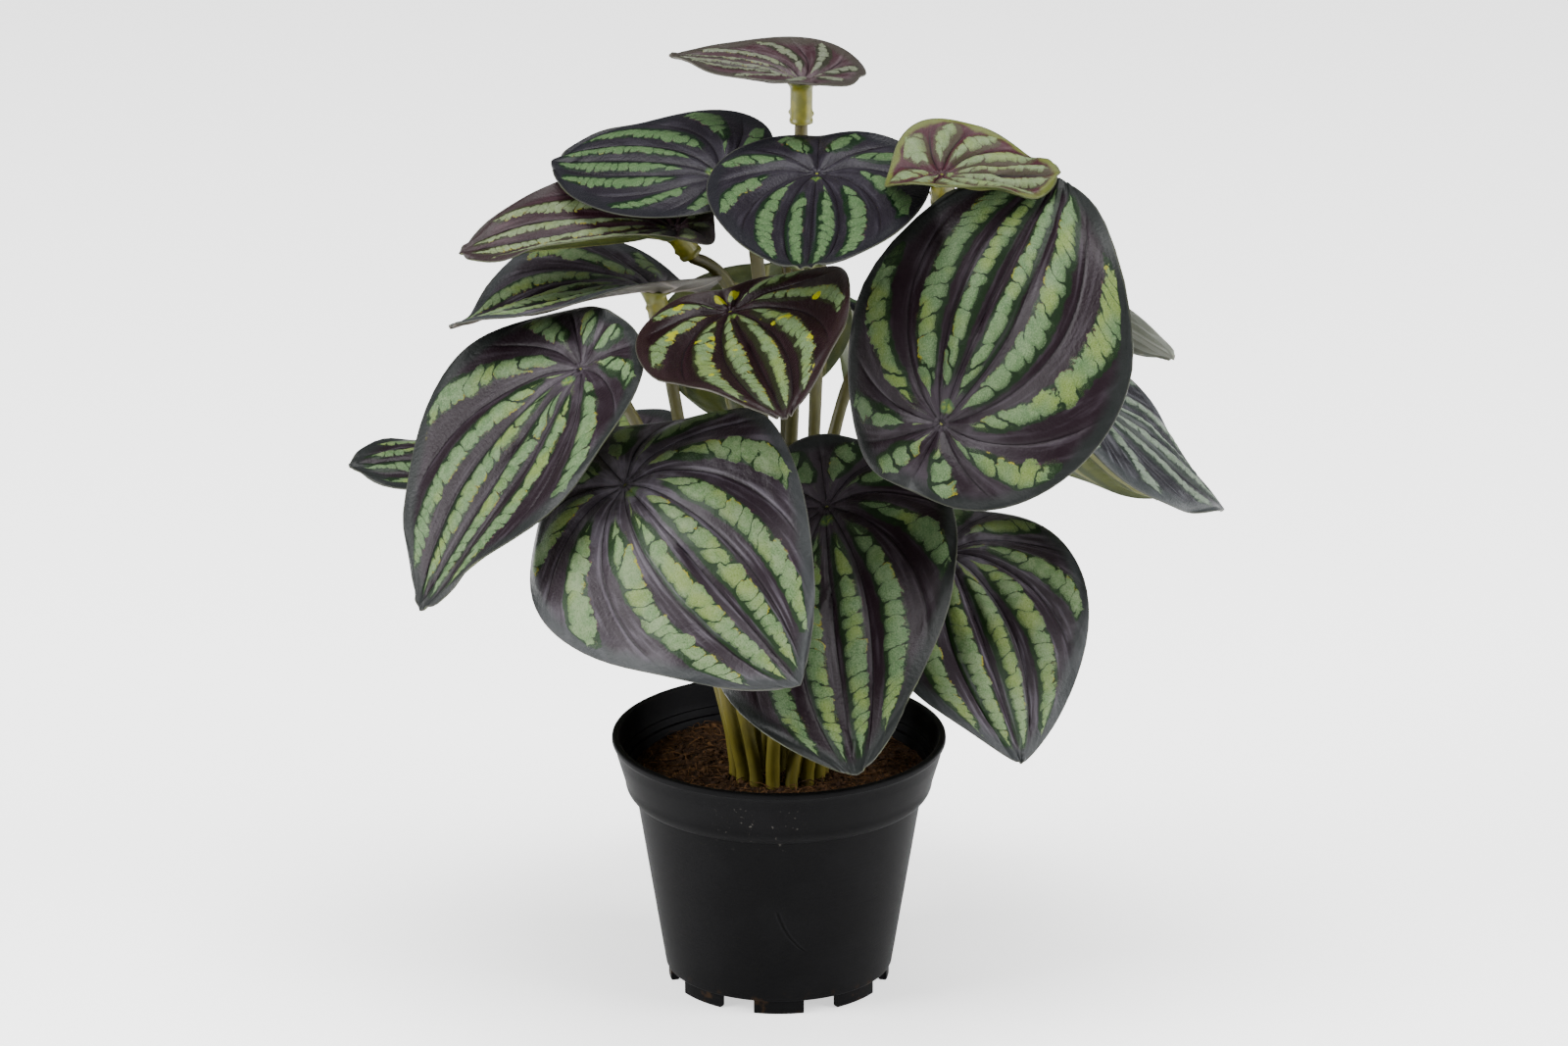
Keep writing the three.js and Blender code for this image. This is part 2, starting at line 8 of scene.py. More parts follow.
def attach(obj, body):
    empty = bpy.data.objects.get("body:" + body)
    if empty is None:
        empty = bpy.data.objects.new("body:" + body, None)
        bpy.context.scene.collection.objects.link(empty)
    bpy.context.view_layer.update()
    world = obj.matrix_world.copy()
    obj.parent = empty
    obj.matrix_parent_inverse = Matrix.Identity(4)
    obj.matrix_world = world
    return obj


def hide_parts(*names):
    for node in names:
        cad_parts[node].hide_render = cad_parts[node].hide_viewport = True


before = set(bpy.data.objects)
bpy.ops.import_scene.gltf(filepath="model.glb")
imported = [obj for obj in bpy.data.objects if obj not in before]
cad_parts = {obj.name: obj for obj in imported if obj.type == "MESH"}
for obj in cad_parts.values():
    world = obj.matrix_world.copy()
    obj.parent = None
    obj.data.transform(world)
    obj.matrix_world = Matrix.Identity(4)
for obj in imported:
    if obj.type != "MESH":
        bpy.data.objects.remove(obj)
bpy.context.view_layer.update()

METRE = 0.001
BODY = "root"

# Pot
POT_HEIGHT = 81
RIM_RADIUS = 52.5
LIP_HEIGHT = 1.6
LIP_WIDTH = 1.6
LIP_ROUND = 0.7
LIP_Z = POT_HEIGHT - LIP_HEIGHT
NECK_HEIGHT = 4
WALL = 1.3
EDGE_ROUND = 0.8
COLLAR_TOP_RADIUS = 51
COLLAR_LOW_RADIUS = 48.4
COLLAR_LOW_Z = 66.6
SHOULDER_Z = 62
BODY_TOP_RADIUS = 45
BODY_LOW_RADIUS = 35.9
STEP_LOW_Z = 70.4
STEP_HIGH_Z = 72.8
STEP_LOW_WIDTH = 1.5
STEP_HIGH_WIDTH = 0.9
FOOT_HEIGHT = 4.5
FOOT_COUNT = 8
FOOT_DEGREES = 26
FOOT_OUTER_RADIUS = 35
FOOT_DEPTH = 2.6
FOOT_STEPS = 10
FOOT_BEVEL = 0.35
FLOOR_THICKNESS = 2
FLOOR_TOP = FOOT_HEIGHT + FLOOR_THICKNESS
DRAIN_COUNT = 6
DRAIN_RADIUS = 3
DRAIN_CIRCLE = 21
DRAIN_SIDES = 40
POT_SIDES = 192
POT_CREASE = 38
SHOULDER_STEPS = 12

# Soil
SOIL_LEVEL = 68
SOIL_EDGE_DIP = 0.3
SOIL_INSET = 0.5
SOIL_RADIUS = COLLAR_LOW_RADIUS - WALL - SOIL_INSET
SOIL_FLOOR_GAP = 0.3
LUMP_HEIGHT = 0.35
SOIL_SIDES = 200
SOIL_RINGS = 62
SOIL_ROUGH = 1.1
SOIL_SEED = 11
SOIL_WAVES = ((9.0, 0.5), (4.0, 0.45), (2.1, 0.4), (1.2, 0.35))
WAVES_OF_A_SIZE = 7
SOIL_GRIT = 0.12
FIBRE_SEED = 7
STRAND_COUNT = 1300
STRAND_STEPS = 5
STRAND_SIDES = 4
STRAND_INSET = 3
CRUMB_COUNT = 620
CRUMB_INSET = 1.5

# Petioles
STEM_RADIUS = 2
STEM_SIDES = 18
STEM_STEPS = 8
STEM_RINGS = 64
STEM_CREASE = 60
STEM_RIDGES = 5
STEM_RIDGE = 0.03
STEM_SEED_SPREAD = 5.0
FOOT_SWELL = 0.1
FOOT_SWELL_END = 0.16
PLUG_SWELL = 1.03
HOLE_DEPTH = 9
HOLE_CLEAR = 0.4
FOOT_RISE = 12
LEAN = 2
INNER_RING = 6.8
OUTER_RING = 13.6

# Sockets under the leaves
SOCKET_RADIUS = 3.4
SOCKET_SIDES = 32
SOCKET_BORE = 2.5
SOCKET_PLUG = 7
SOCKET_FLARE_RADIUS = 5
SOCKET_FLARE_HEIGHT = 2.4
SOCKET_ROOT = 0.55
SOCKET_TURN = 3
SLEEVE_STEP = 0.45
SOCKET_LIP = ((1.5, 0), (1.2, 0.22), (0.4, 0.24), (0.1, 0.1), (0, -0.2))
SOCKET_SEAM = 0.16
SEAM_WIDTH = 0.16
SEAM_START = 1.5
NUB_HEIGHT = 0.6
NUB_RADIUS = 0.75
NUB_ABOVE_MOUTH = 3.2
NUB_SHIFT = 2.6

# Leaves
BLADE = 0.85
POLE = 1.05
BASE_POWER = 0.5
NOTCH_WIDTH = 0.13
WAVE_CENTRE = 0.28
CURL_START = 0.55
RIB_STEPS = 40
PILLOW = 1.3
NAVEL_DEPTH = 2.2
NAVEL_RADIUS = 7
VEIN_DEGREES = [0, 27, 62, 100, 135, 180]
LAST_BAND = len(VEIN_DEGREES) - 1
BAND_SHARES = [0, 0.03, 0.07, 0.13, 0.2, 0.3, 0.4, 0.5, 0.6, 0.7, 0.8, 0.87, 0.93, 0.97]
NAVEL_RINGS = [0.012, 0.022, 0.033, 0.048, 0.068]
PLAIN_RINGS = 42
EDGE_RINGS = [0.975, 0.99, 1]
EDGE_THIN = 0.45
EDGE_BULGE = 0.18
CREASE_DEPTH = 0.42
CREASE_WIDTH = 0.75
QUILT = 0.16
UNDULATION = 0.35
NAVEL_NUB = 0.5
NAVEL_NUB_RADIUS = 1.5
FULL_LENGTH = 105
CELLS = 12
TIP_CROWDING = 1.3
MARGIN_RIPPLE = 0.55
RIPPLE_LENGTH = 2.6
RIPPLE_POWER = 6
NUB_WIDTH = 0.6
MARGIN_STEPS = 60
MARGIN_HALVINGS = 20
SEED_SPREAD = 37.0

# Each leaf: where its petiole meets it, the heading of its tip (0 is +X, -90 the front), how far
# the tip droops, how far its left side is lifted, and its length. The rest are its own departures
# from the usual leaf, with the same meaning as in the part's source, and the look of its faces.
USUAL = dict(
    width=0.77, lobe=0.22, taper=0.84, skew=0, notch=0.02, bend=10, dome=0.02, curl=0, wave=0.02,
    phase=0, socket=10, splay=15, reach=26, rise=60, bow=(0, 0), ring=2, look="green",
)
LEAVES = [
    dict(name="top", at=(7, 14, 291.5), heading=165, droop=-2, roll=1, length=62, lobe=0.32, skew=-0.04,
         bend=-6, dome=-0.062, curl=-4, wave=-0.01, phase=-37, socket=13, ring=0, bow=(3, -5), rise=85,
         splay=2, look="hazy"),
    dict(name="upper_left", at=(-18, -2, 266), heading=150, droop=1, roll=-20, length=77, lobe=0.19,
         skew=-0.01, bend=12, dome=0, wave=0.012, phase=14, ring=1, rise=45, reach=27, splay=26,
         look="crown"),
    dict(name="crown", at=(11.5, -14, 270), heading=-93, droop=14, roll=2, length=88, lobe=0.255,
         taper=0.91, skew=0.03, bend=1, dome=0, curl=-31, wave=-0.005, phase=8, ring=1, reach=24,
         splay=14, look="crown"),
    dict(name="upper_right", at=(49, -29, 274.2), heading=-17, droop=2, roll=16, length=55, width=0.74,
         lobe=0.31, taper=0.94, skew=-0.04, bend=-5, dome=-0.12, curl=-13, wave=-0.05, phase=18, ring=1,
         bow=(3, 0), rise=65, reach=28, splay=1, look="young"),
    dict(name="left_maroon", at=(-32, -2, 249), heading=182, droop=2, roll=-6, length=81, lobe=0.18,
         taper=0.88, notch=0.03, bend=12, dome=-0.12, curl=-11, wave=0.022, phase=22, ring=1,
         bow=(14, 13), rise=166, reach=4, splay=30, look="rosy"),
    dict(name="left_grey", at=(-38, 8, 226), heading=203, droop=-7, roll=6, length=87, lobe=0.21,
         taper=0.8, skew=0.02, bend=27, dome=-0.097, curl=-9, wave=-0.028, phase=20, bow=(5, 0), rise=65,
         reach=27, look="sage_sheen"),
    dict(name="big_left", at=(-61, -38, 215), heading=-149, droop=45, roll=-2, length=109, lobe=0.194,
         taper=0.8, skew=-0.017, bend=9, dome=-0.056, curl=-5, wave=-0.024, phase=-52, reach=18,
         splay=10),
    dict(name="far_left", at=(-51, 34, 165), heading=189, droop=0, roll=4, length=110, lobe=0.23, bend=5,
         dome=0, curl=-2, wave=0.027, phase=-12, rise=65, reach=6, splay=17),
    dict(name="lower_left", at=(-47, -64, 187), heading=-64, droop=10, roll=38, length=118, taper=0.88,
         notch=-0.01, bend=60, dome=0.063, curl=6, wave=0.038, phase=45, bow=(-2, 5), reach=34, splay=25,
         look="sage_sheen"),
    dict(name="centre_maroon", at=(-15, -45, 236), heading=-76, droop=10, roll=17, length=87, lobe=0.19,
         taper=0.81, skew=0.05, notch=0.105, bend=-7, dome=-0.058, curl=6, wave=0.03, phase=48, ring=1,
         bow=(2, 6), rise=95, reach=40, splay=26, look="maroon"),
    dict(name="big_right", at=(48, -68, 207), heading=34, droop=-64, roll=27, length=109, width=0.825,
         lobe=0.23, taper=0.6, skew=-0.09, notch=0.034, bend=13, dome=0.044, curl=9, wave=0.036, phase=64,
         bow=(16, 22), rise=130, reach=33, splay=5),
    dict(name="lower_centre", at=(14, -36, 170), heading=-87, droop=36, roll=26, length=115, lobe=0.2,
         taper=0.79, skew=-0.1, notch=0, dome=0.087, curl=6, wave=0.03, phase=42, rise=40, reach=6,
         splay=11),
    dict(name="lower_right", at=(51, -26, 152), heading=-71, droop=24, roll=6, length=102, width=0.71,
         skew=0.063, bend=26, dome=0.029, wave=0.021, phase=9, bow=(-1, 3), reach=6, splay=19, taper=0.81,
         curl=-1, look="sage_sheen"),
    dict(name="right_grey", at=(95, -14, 197), heading=19, droop=32, roll=21, length=85, lobe=0.24,
         taper=0.87, bend=26, dome=0.025, phase=-31, bow=(-4, 9), rise=100, reach=29, splay=30,
         look="striped"),
    dict(name="right_under", at=(86, 28, 178), heading=21, droop=38, roll=-41, length=63, lobe=0.23,
         taper=0.85, dome=0.037, phase=8, bow=(-4, -1), rise=65, reach=9, splay=16, look="striped"),
    dict(name="right_back", at=(91, 22, 219), heading=3, droop=37, roll=-35, length=52, lobe=0.24,
         bend=-3, dome=0.044, curl=-5, wave=0.01, phase=-28, rise=70, reach=17, splay=14, look="pale"),
    dict(name="back_left", at=(-5, 38, 213), heading=98, droop=54, roll=1, length=92, width=0.68,
         skew=0.08, bend=0, dome=0.033, wave=0.013, phase=-18, rise=55, reach=8, splay=10),
    dict(name="back_right", at=(34, 58, 197), heading=70, droop=43, roll=19, length=88, bend=29, dome=0,
         skew=-0.03, wave=0.04, phase=-44, reach=19, splay=10, look="crown"),
    dict(name="rear_high", at=(5, 33, 249), heading=80, droop=24, roll=0, length=84, bend=20, ring=1,
         splay=12, look="maroon"),
    dict(name="rear_left", at=(-36, 55, 127), heading=132, droop=30, roll=14, length=84, bend=22,
         bow=(5, -4), rise=40, reach=23, splay=12),
    dict(name="rear_middle", at=(-2, 62, 140), heading=94, droop=36, roll=0, length=106, bend=18,
         wave=0.03, phase=70, bow=(-1, -3), rise=45, reach=29, look="sage_sheen"),
    dict(name="rear_right", at=(38, 50, 135), heading=62, droop=30, roll=0, length=98, bend=22, phase=140,
         bow=(-3, -2), rise=45, reach=24, splay=18),
]
LEAVES = [{**USUAL, **leaf, "seed": index} for index, leaf in enumerate(LEAVES)]

# The looks of a leaf's upper face, as colours on the screen: the bands along the veins, their painted
# sheen, the cells between them, their dark green shadow, and how much of the space between two veins they
# fill.
USUAL_LOOK = dict(ragged=0.1, gap=1, rim=3, start=8, blotch=0, sheen=0.75, tint=0)
LOOKS = dict(
    green=dict(band=(34, 24, 30), sheen_colour=(84, 78, 84), cell=(128, 148, 116), deep=(94, 120, 86),
               halo=(29, 45, 27), margin=(42, 47, 45), fill=0.24, flecks=0.3, rim=3.6, tint=0.45),
    # Partly painted light: a paler copy of the green look with more painted sheen, for leaves that catch
    # more light.
    sage_sheen=dict(band=(46, 38, 44), sheen_colour=(128, 123, 131), cell=(148, 164, 132), deep=(110, 136, 98),
              halo=(36, 56, 32), margin=(66, 70, 70), fill=0.25, flecks=0.35, rim=3.6, start=10,
              sheen=0.95, tint=0.45),
    crown=dict(band=(32, 28, 35), sheen_colour=(66, 63, 70), cell=(98, 120, 88), deep=(76, 102, 70),
               halo=(14, 36, 16), margin=(30, 31, 35), fill=0.22, flecks=0.1, ragged=0.04, rim=4,
               start=14, sheen=0.6),
    maroon=dict(band=(27, 13, 16), sheen_colour=(46, 31, 36), cell=(126, 144, 114), deep=(98, 118, 78),
                halo=(36, 40, 24), margin=(44, 32, 33), fill=0.21, flecks=0.8, ragged=0.2,
                blotch=0.85, sheen=0.6, tint=0.3),
    rosy=dict(band=(44, 25, 31), sheen_colour=(98, 82, 87), cell=(150, 162, 136), deep=(114, 128, 96),
              halo=(46, 48, 32), margin=(60, 52, 52), fill=0.21, flecks=0.6, ragged=0.18, gap=0.8,
              sheen=0.95, tint=0.2),
    young=dict(band=(64, 34, 42), sheen_colour=(88, 64, 68), cell=(146, 160, 130), deep=(116, 134, 98),
               halo=(74, 68, 56), margin=(116, 126, 78), fill=0.29, flecks=0.4, ragged=0.12,
               gap=0.6, rim=1.5, start=7, sheen=0.6, tint=0.3),
    hazy=dict(band=(60, 41, 46), sheen_colour=(108, 97, 100), cell=(134, 138, 126), deep=(106, 112, 94),
              halo=(44, 46, 36), margin=(66, 64, 58), fill=0.15, flecks=0.2, ragged=0.16, gap=0.7,
              tint=0.1),
    striped=dict(band=(34, 33, 38), sheen_colour=(118, 119, 123), cell=(148, 157, 148),
                 deep=(112, 126, 110), halo=(46, 54, 48), margin=(66, 70, 70), fill=0.17, flecks=0,
                 gap=0.25, start=6, sheen=0.8),
    # Painted satin sheen: the whole upper face pale grey, where the leaf reflects the light.
    pale=dict(band=(134, 138, 130), sheen_colour=(156, 158, 152), cell=(166, 170, 160),
              deep=(150, 156, 142), halo=(122, 130, 116), margin=(138, 142, 132), fill=0.2,
              flecks=0, gap=0.3, start=6),
)
FLECK_YELLOW = (178, 172, 84)
FLECK_PINK = (118, 78, 88)
CREASE_SHADE_COLOUR = (20, 14, 18)
EDGE_HIGHLIGHT_COLOUR = (92, 94, 84)
DOT_COLOUR = (138, 158, 92)
SPECKLE_COLOUR = (176, 186, 158)
BLOTCH_COLOUR = (176, 178, 66)
TINT_COLOUR = (150, 164, 92)
HALO_WIDTH = 1.15
HALO_SHIFT = 0.5
DOT_PLACE = 5.2
NAVEL_HIGHLIGHT_RADIUS = 1.9
LEAST_FILL = 0.0005

# The looks of the lower face: the blade, its veins and the shadow of the bands
UNDER_GREEN = ((118, 124, 44), (150, 150, 104), (56, 68, 26))
UNDER_GREY = ((128, 128, 108), (178, 168, 160), (78, 74, 66))
# Painted satin sheen on the under side of the pale leaf.
UNDER_PALE_SHEEN = ((168, 172, 158), (190, 192, 182), (140, 144, 130))

# Camera and light
LENS = 160.8
SENSOR = 36
CAMERA_AT = (1.6, -2050, 883)
CAMERA_AIM = (1.6, 0, 151)
CLIP_START = 0.1
CLIP_END = 30
LIGHT_LEVEL = 2.8
RICHNESS = 1.4
LIGHT_AIM = (0, 0, 150)
LIGHTS = [
    dict(name="light_left", at=(-1500, -500, 900), width=900, height=1300, power=64),
    dict(name="light_right", at=(1500, -400, 800), width=900, height=1300, power=52),
    dict(name="light_top", at=(0, -300, 1900), width=1500, height=1300, power=74),
]
WORLD_LIGHT = 0.3
FLOOR_GLOW = 1.0
FLOOR_REACH = 9000


# Helpers for meshes

def add_object(name, data):
    made = bpy.data.objects.new(name, data)
    bpy.context.scene.collection.objects.link(made)
    return made


def new_object(name, points, faces, materials, face_materials=None, sharp=None):
    """Smooth mesh from points in millimetres; sharp is the angle past which an edge stays crisp."""
    mesh = bpy.data.meshes.new(name)
    mesh.from_pydata((np.asarray(points, float) * METRE).tolist(), [], faces)
    mesh.polygons.foreach_set("use_smooth", [True] * len(mesh.polygons))
    for material in materials:
        mesh.materials.append(material)
    if face_materials is not None:
        mesh.polygons.foreach_set("material_index", face_materials)
    if sharp is not None:
        mesh.set_sharp_from_angle(angle=math.radians(sharp))
    mesh.update()
    return add_object(name, mesh)


def store(made, name, values):
    """Keeps one vector for each point under a name that the materials read."""
    attribute = made.data.attributes.new(name, "FLOAT_VECTOR", "POINT")
    attribute.data.foreach_set("vector", np.asarray(values, np.float32).ravel())


def place_piece(made, slot, *nodes):
    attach(made, BODY)
    if nodes:
        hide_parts(*nodes)


def smooth_step(value, low, high):
    share = np.clip((value - low) / (high - low), 0, 1)
    return share * share * (3 - 2 * share)


def ring_angles(sides):
    return np.linspace(0, 2 * np.pi, sides, endpoint=False)


def polar(radius, angle):
    return radius * math.cos(angle), radius * math.sin(angle)


def neighbours(around):
    """Each place on a closed ring with the next one."""
    return [(i, (i + 1) % around) for i in range(around)]


def grid_faces(rings, around, first=0):
    """Quads between rings of points; the rings follow each other and each closes on itself."""
    faces = []
    for ring in range(rings - 1):
        low = first + ring * around
        high = low + around
        faces += [(low + i, low + j, high + j, high + i) for i, j in neighbours(around)]
    return faces


def end_faces(rings, around):
    """The flat faces that close the first and the last of the rings."""
    last = (rings - 1) * around
    return [tuple(reversed(range(around))), tuple(range(last, last + around))]


def tube_points(line, radius, across, other, around):
    """Rings of points along a line; across and other are the directions that each ring lies in."""
    sideways = (radius * np.cos(around))[..., None] * across[:, None, :]
    upward = (radius * np.sin(around))[..., None] * other[:, None, :]
    return (line[:, None, :] + sideways + upward).reshape(-1, 3)


# Helpers for materials

def linear(colour):
    """Screen colour, 0 to 255, as the linear colour with alpha that a socket takes."""
    shares = [part / 255 for part in colour]
    return tuple(s / 12.92 if s <= 0.04045 else ((s + 0.055) / 1.055) ** 2.4 for s in shares) + (1.0,)


def paint(colour):
    """Surface colour that shows as this screen colour under the studio light."""
    shares = linear(colour)[:3]
    grey = sum(shares) / 3
    return tuple(max(0, grey + RICHNESS * (share - grey)) / LIGHT_LEVEL for share in shares) + (1.0,)


def maths(operation, turned=False):
    """An operator that makes a math node, with its two sides turned round where the first is a number."""
    def make(self, *other):
        values = (*other, self) if turned else (self, *other)
        return self.net.math(operation, *values)

    return make


class Value:
    """What a node gives; each sum or product written with it is made as a further node."""

    def __init__(self, net, socket):
        self.net = net
        self.socket = socket

    __add__ = __radd__ = maths("ADD")
    __mul__ = __rmul__ = maths("MULTIPLY")
    __sub__ = maths("SUBTRACT")
    __rsub__ = maths("SUBTRACT", turned=True)
    __truediv__ = maths("DIVIDE")
    __rtruediv__ = maths("DIVIDE", turned=True)
    __pow__ = maths("POWER")
    __abs__ = maths("ABSOLUTE")

    def rise(self, low, high):
        """Smooth step: 0 at low and 1 at high, which may be the smaller one."""
        inputs = {"Value": self, "From Min": low, "From Max": high}
        return self.net.give("ShaderNodeMapRange", 0, inputs, interpolation_type="SMOOTHSTEP")


class Net:
    """Builds a material's nodes with short calls."""

    def __init__(self, name):
        self.material = bpy.data.materials.new(name)
        self.material.use_nodes = True
        self.tree = self.material.node_tree
        self.tree.nodes.clear()

    def feed(self, socket, value):
        """Links a value to a socket or sets it there; three numbers are a colour on the screen."""
        if isinstance(value, Value):
            self.tree.links.new(value.socket, socket)
        elif isinstance(value, tuple) and len(value) == 3:
            socket.default_value = paint(value)
        else:
            socket.default_value = value

    def node(self, kind, inputs, **settings):
        made = self.tree.nodes.new(kind)
        for key, value in settings.items():
            setattr(made, key, value)
        for key, value in inputs.items():
            self.feed(made.inputs[key], value)
        return made

    def give(self, kind, output, inputs, **settings):
        """One output of a new node."""
        return Value(self, self.node(kind, inputs, **settings).outputs[output])

    def math(self, operation, *values):
        return self.give("ShaderNodeMath", 0, dict(enumerate(values)), operation=operation)

    def most(self, a, b):
        return self.math("MAXIMUM", a, b)

    def least(self, a, b):
        return self.math("MINIMUM", a, b)

    def attribute(self, name):
        return self.give("ShaderNodeAttribute", "Vector", {}, attribute_name=name)

    def parts(self, vector):
        made = self.node("ShaderNodeSeparateXYZ", {0: vector})
        return [Value(self, output) for output in made.outputs]

    def vector(self, *values):
        return self.give("ShaderNodeCombineXYZ", 0, dict(enumerate(values)))

    def noise(self, vector, scale, detail=2, roughness=0.5):
        inputs = {"Vector": vector, "Scale": scale, "Detail": detail, "Roughness": roughness}
        return self.give("ShaderNodeTexNoise", "Fac", inputs)

    def chance(self, *values):
        """Three random shares that stay the same over each whole number of the values."""
        inputs = {"Vector": self.vector(*values)}
        return self.parts(self.give("ShaderNodeTexWhiteNoise", "Color", inputs, noise_dimensions="3D"))

    def mix(self, share, a, b):
        return self.give("ShaderNodeMix", 2, {0: share, 6: a, 7: b}, data_type="RGBA")

    def bump(self, height, distance):
        return self.give("ShaderNodeBump", 0, {"Height": height, "Distance": distance * METRE})

    def place(self):
        """Place on the object in millimetres."""
        place = self.give("ShaderNodeTexCoord", "Object", {})
        return self.give("ShaderNodeVectorMath", 0, {0: place, "Scale": 1 / METRE}, operation="SCALE")

    def finish(self, colour, roughness, normal=None, specular=0.5, glow=0.0):
        inputs = {"Base Color": colour, "Roughness": roughness, "Specular IOR Level": specular}
        inputs["Emission Strength"] = glow
        if normal is not None:
            inputs["Normal"] = normal
        shader = self.give("ShaderNodeBsdfPrincipled", 0, inputs)
        self.node("ShaderNodeOutputMaterial", {"Surface": shader})
        return self.material


# Materials of the leaves

class BladeNet(Net):
    """Nodes that both faces of a blade are drawn with, from what each point knows of its place."""

    def __init__(self, name):
        super().__init__(name)
        self.flat = self.attribute("flat")
        self.x, self.y, self.seed = self.parts(self.flat)
        self.band, self.reach, self.edge = self.parts(self.attribute("vein"))
        self.cell, self.width, self.share = self.parts(self.attribute("cells"))
        self.between = self.math("FRACT", self.band)
        self.from_vein = self.least(self.between, 1 - self.between) * self.width

    def cloud(self, scale, detail=2, roughness=0.5):
        return self.noise(self.flat, scale, detail, roughness)


class UpperFace(BladeNet):
    """Dark bands along the veins, and chains of pale rounded cells with a dark green shadow."""

    def __init__(self, name, look):
        super().__init__(name)
        self.look = look
        self.side = self.math("SIGN", self.y)
        self.wobble = self.cloud(0.16) - 0.5
        self.fine = self.cloud(0.85, 3) - 0.5
        self.warp = self.cloud(0.33, 3, 0.6) - 0.5
        self.grain = self.cloud(2.3, 3, 0.7)
        # Streaks along the bands, which the painted sheen and the painted highlight beside the veins
        # follow.
        streaked = self.vector(self.band * 9, self.reach * 0.05, self.seed + self.side)
        self.streak = self.noise(streaked, 1, 3)
        self.place_chains()
        self.shape_cells()

    def place_chains(self):
        """How far a point is off the middle of its chain, how far along it, and its cell's chances."""
        middle = 0.5 + self.band.rise(1.2, 0.8) * 0.07
        self.off = self.between + (self.wobble * 0.14 + self.warp * 0.07) - middle
        self.leftward = self.off * self.side
        self.near_start = self.reach.rise(34, 11)
        slant = 0.12 + self.near_start * 1.8
        uneven = self.wobble * 0.9 + self.cloud(0.07) * 1.8 + self.warp * 0.5
        self.chain = self.cell - slant * self.off + uneven
        row = self.math("FLOOR", self.band) + self.side * 9
        cell = self.math("FLOOR", self.chain)
        self.wide, self.tone, self.shifted = self.chance(cell, row, self.seed)

    def shape_cells(self):
        """The cells are where shape is under 1, rounded across the chain and parted along it."""
        start = self.look["start"]
        self.outer = self.band.rise(2.4, 3.4) * self.share.rise(0.3, 0.5)
        started = (self.reach + (self.tone - 0.5) * 12).rise(start, start * 2 + 3)
        ended = (self.edge + (self.wide - 0.5) * 1.5).rise(1, 4.6) * self.share.rise(0.97, 0.84)
        self.fill = (1 - self.width.rise(11, 24) * 0.3) * self.look["fill"]
        full = self.most(self.most(started, self.outer) * ended * self.fill, LEAST_FILL)
        half = full * (0.78 + self.cloud(0.055, 1) * 0.44) * (0.8 + self.wide * 0.45)
        loose = self.fine * (0.06 + self.leftward.rise(0, 0.1) * self.look["ragged"])
        across = abs(self.off + (self.shifted - 0.5) * 0.05 + loose) / half
        gap = (self.cloud(0.22) * 0.1 + self.near_start * 0.16) * self.look["gap"]
        along = abs(self.math("FRACT", self.chain) - 0.5) + self.fine * 0.07
        along = self.most(along * 2 / (1 - gap), 0)
        parted = 0.55 + self.cloud(0.13).rise(0.62, 0.42) * 0.45
        self.shape = across ** 2.4 + along ** 5 * parted
        self.green = self.shape.rise(1.12, 0.9)

    def halo(self):
        """The shadow round each chain, even in width and set off to one side."""
        start = self.look["start"]
        calm = self.most(self.reach.rise(start, start * 2 + 4), self.outer)
        calm = calm * (self.edge.rise(0.8, 4.2) * self.share.rise(0.985, 0.86)) * self.fill
        from_middle = abs(self.off + self.side * (HALO_SHIFT / self.width) + self.fine * 0.07)
        halo = ((from_middle - calm) * self.width).rise(HALO_WIDTH * 1.25, HALO_WIDTH * 0.45)
        return halo * calm.rise(0.01, 0.07)

    def bands(self, halo):
        """The dark ground, with a painted sheen in clouds near the navel, in streaks and towards the
        margin.
        """
        look = self.look
        cloud = self.cloud(0.09, 3, 0.6).rise(0.42, 0.62)
        navel_sheen = self.reach.rise(36, 4) * (0.2 + cloud * 0.8)
        # hazy is the share of painted sheen, the light reflected by the satin face, over the dark ground.
        hazy = navel_sheen * look["sheen"] + self.streak.rise(0.48, 0.7) * 0.5
        hazy = self.least(hazy + cloud * self.edge.rise(9, 3) * 0.3, 1)
        colour = self.mix(hazy, look["band"], look["sheen_colour"])
        margin = (self.edge + self.wobble * 3).rise(look["rim"] * 1.6, look["rim"] * 0.6)
        colour = self.mix(margin * 0.8, colour, look["margin"])
        return self.mix(halo * 0.92, colour, look["halo"])

    def cells(self):
        """The pale green, mottled, darker at its rim and on one side, with fine speckles."""
        look = self.look
        mottled = self.tone * 0.4 + self.cloud(0.4, 4, 0.65).rise(0.34, 0.66) * 0.65
        pale = self.mix(mottled, look["deep"], look["cell"])
        pale = self.mix(self.cloud(0.075).rise(0.46, 0.66) * look["tint"], pale, TINT_COLOUR)
        pale = self.mix(self.shape.rise(0.25, 0.95) * 0.4, pale, look["deep"])
        shaded = self.leftward.rise(0, -0.22) * self.shape.rise(0, 0.8)
        pale = self.mix(shaded * 0.5, pale, look["halo"])
        pale = self.mix(self.grain.rise(0.5, 0.66) * 0.36, pale, SPECKLE_COLOUR)
        return self.mix(self.grain.rise(0.47, 0.33) * 0.45, pale, look["halo"])

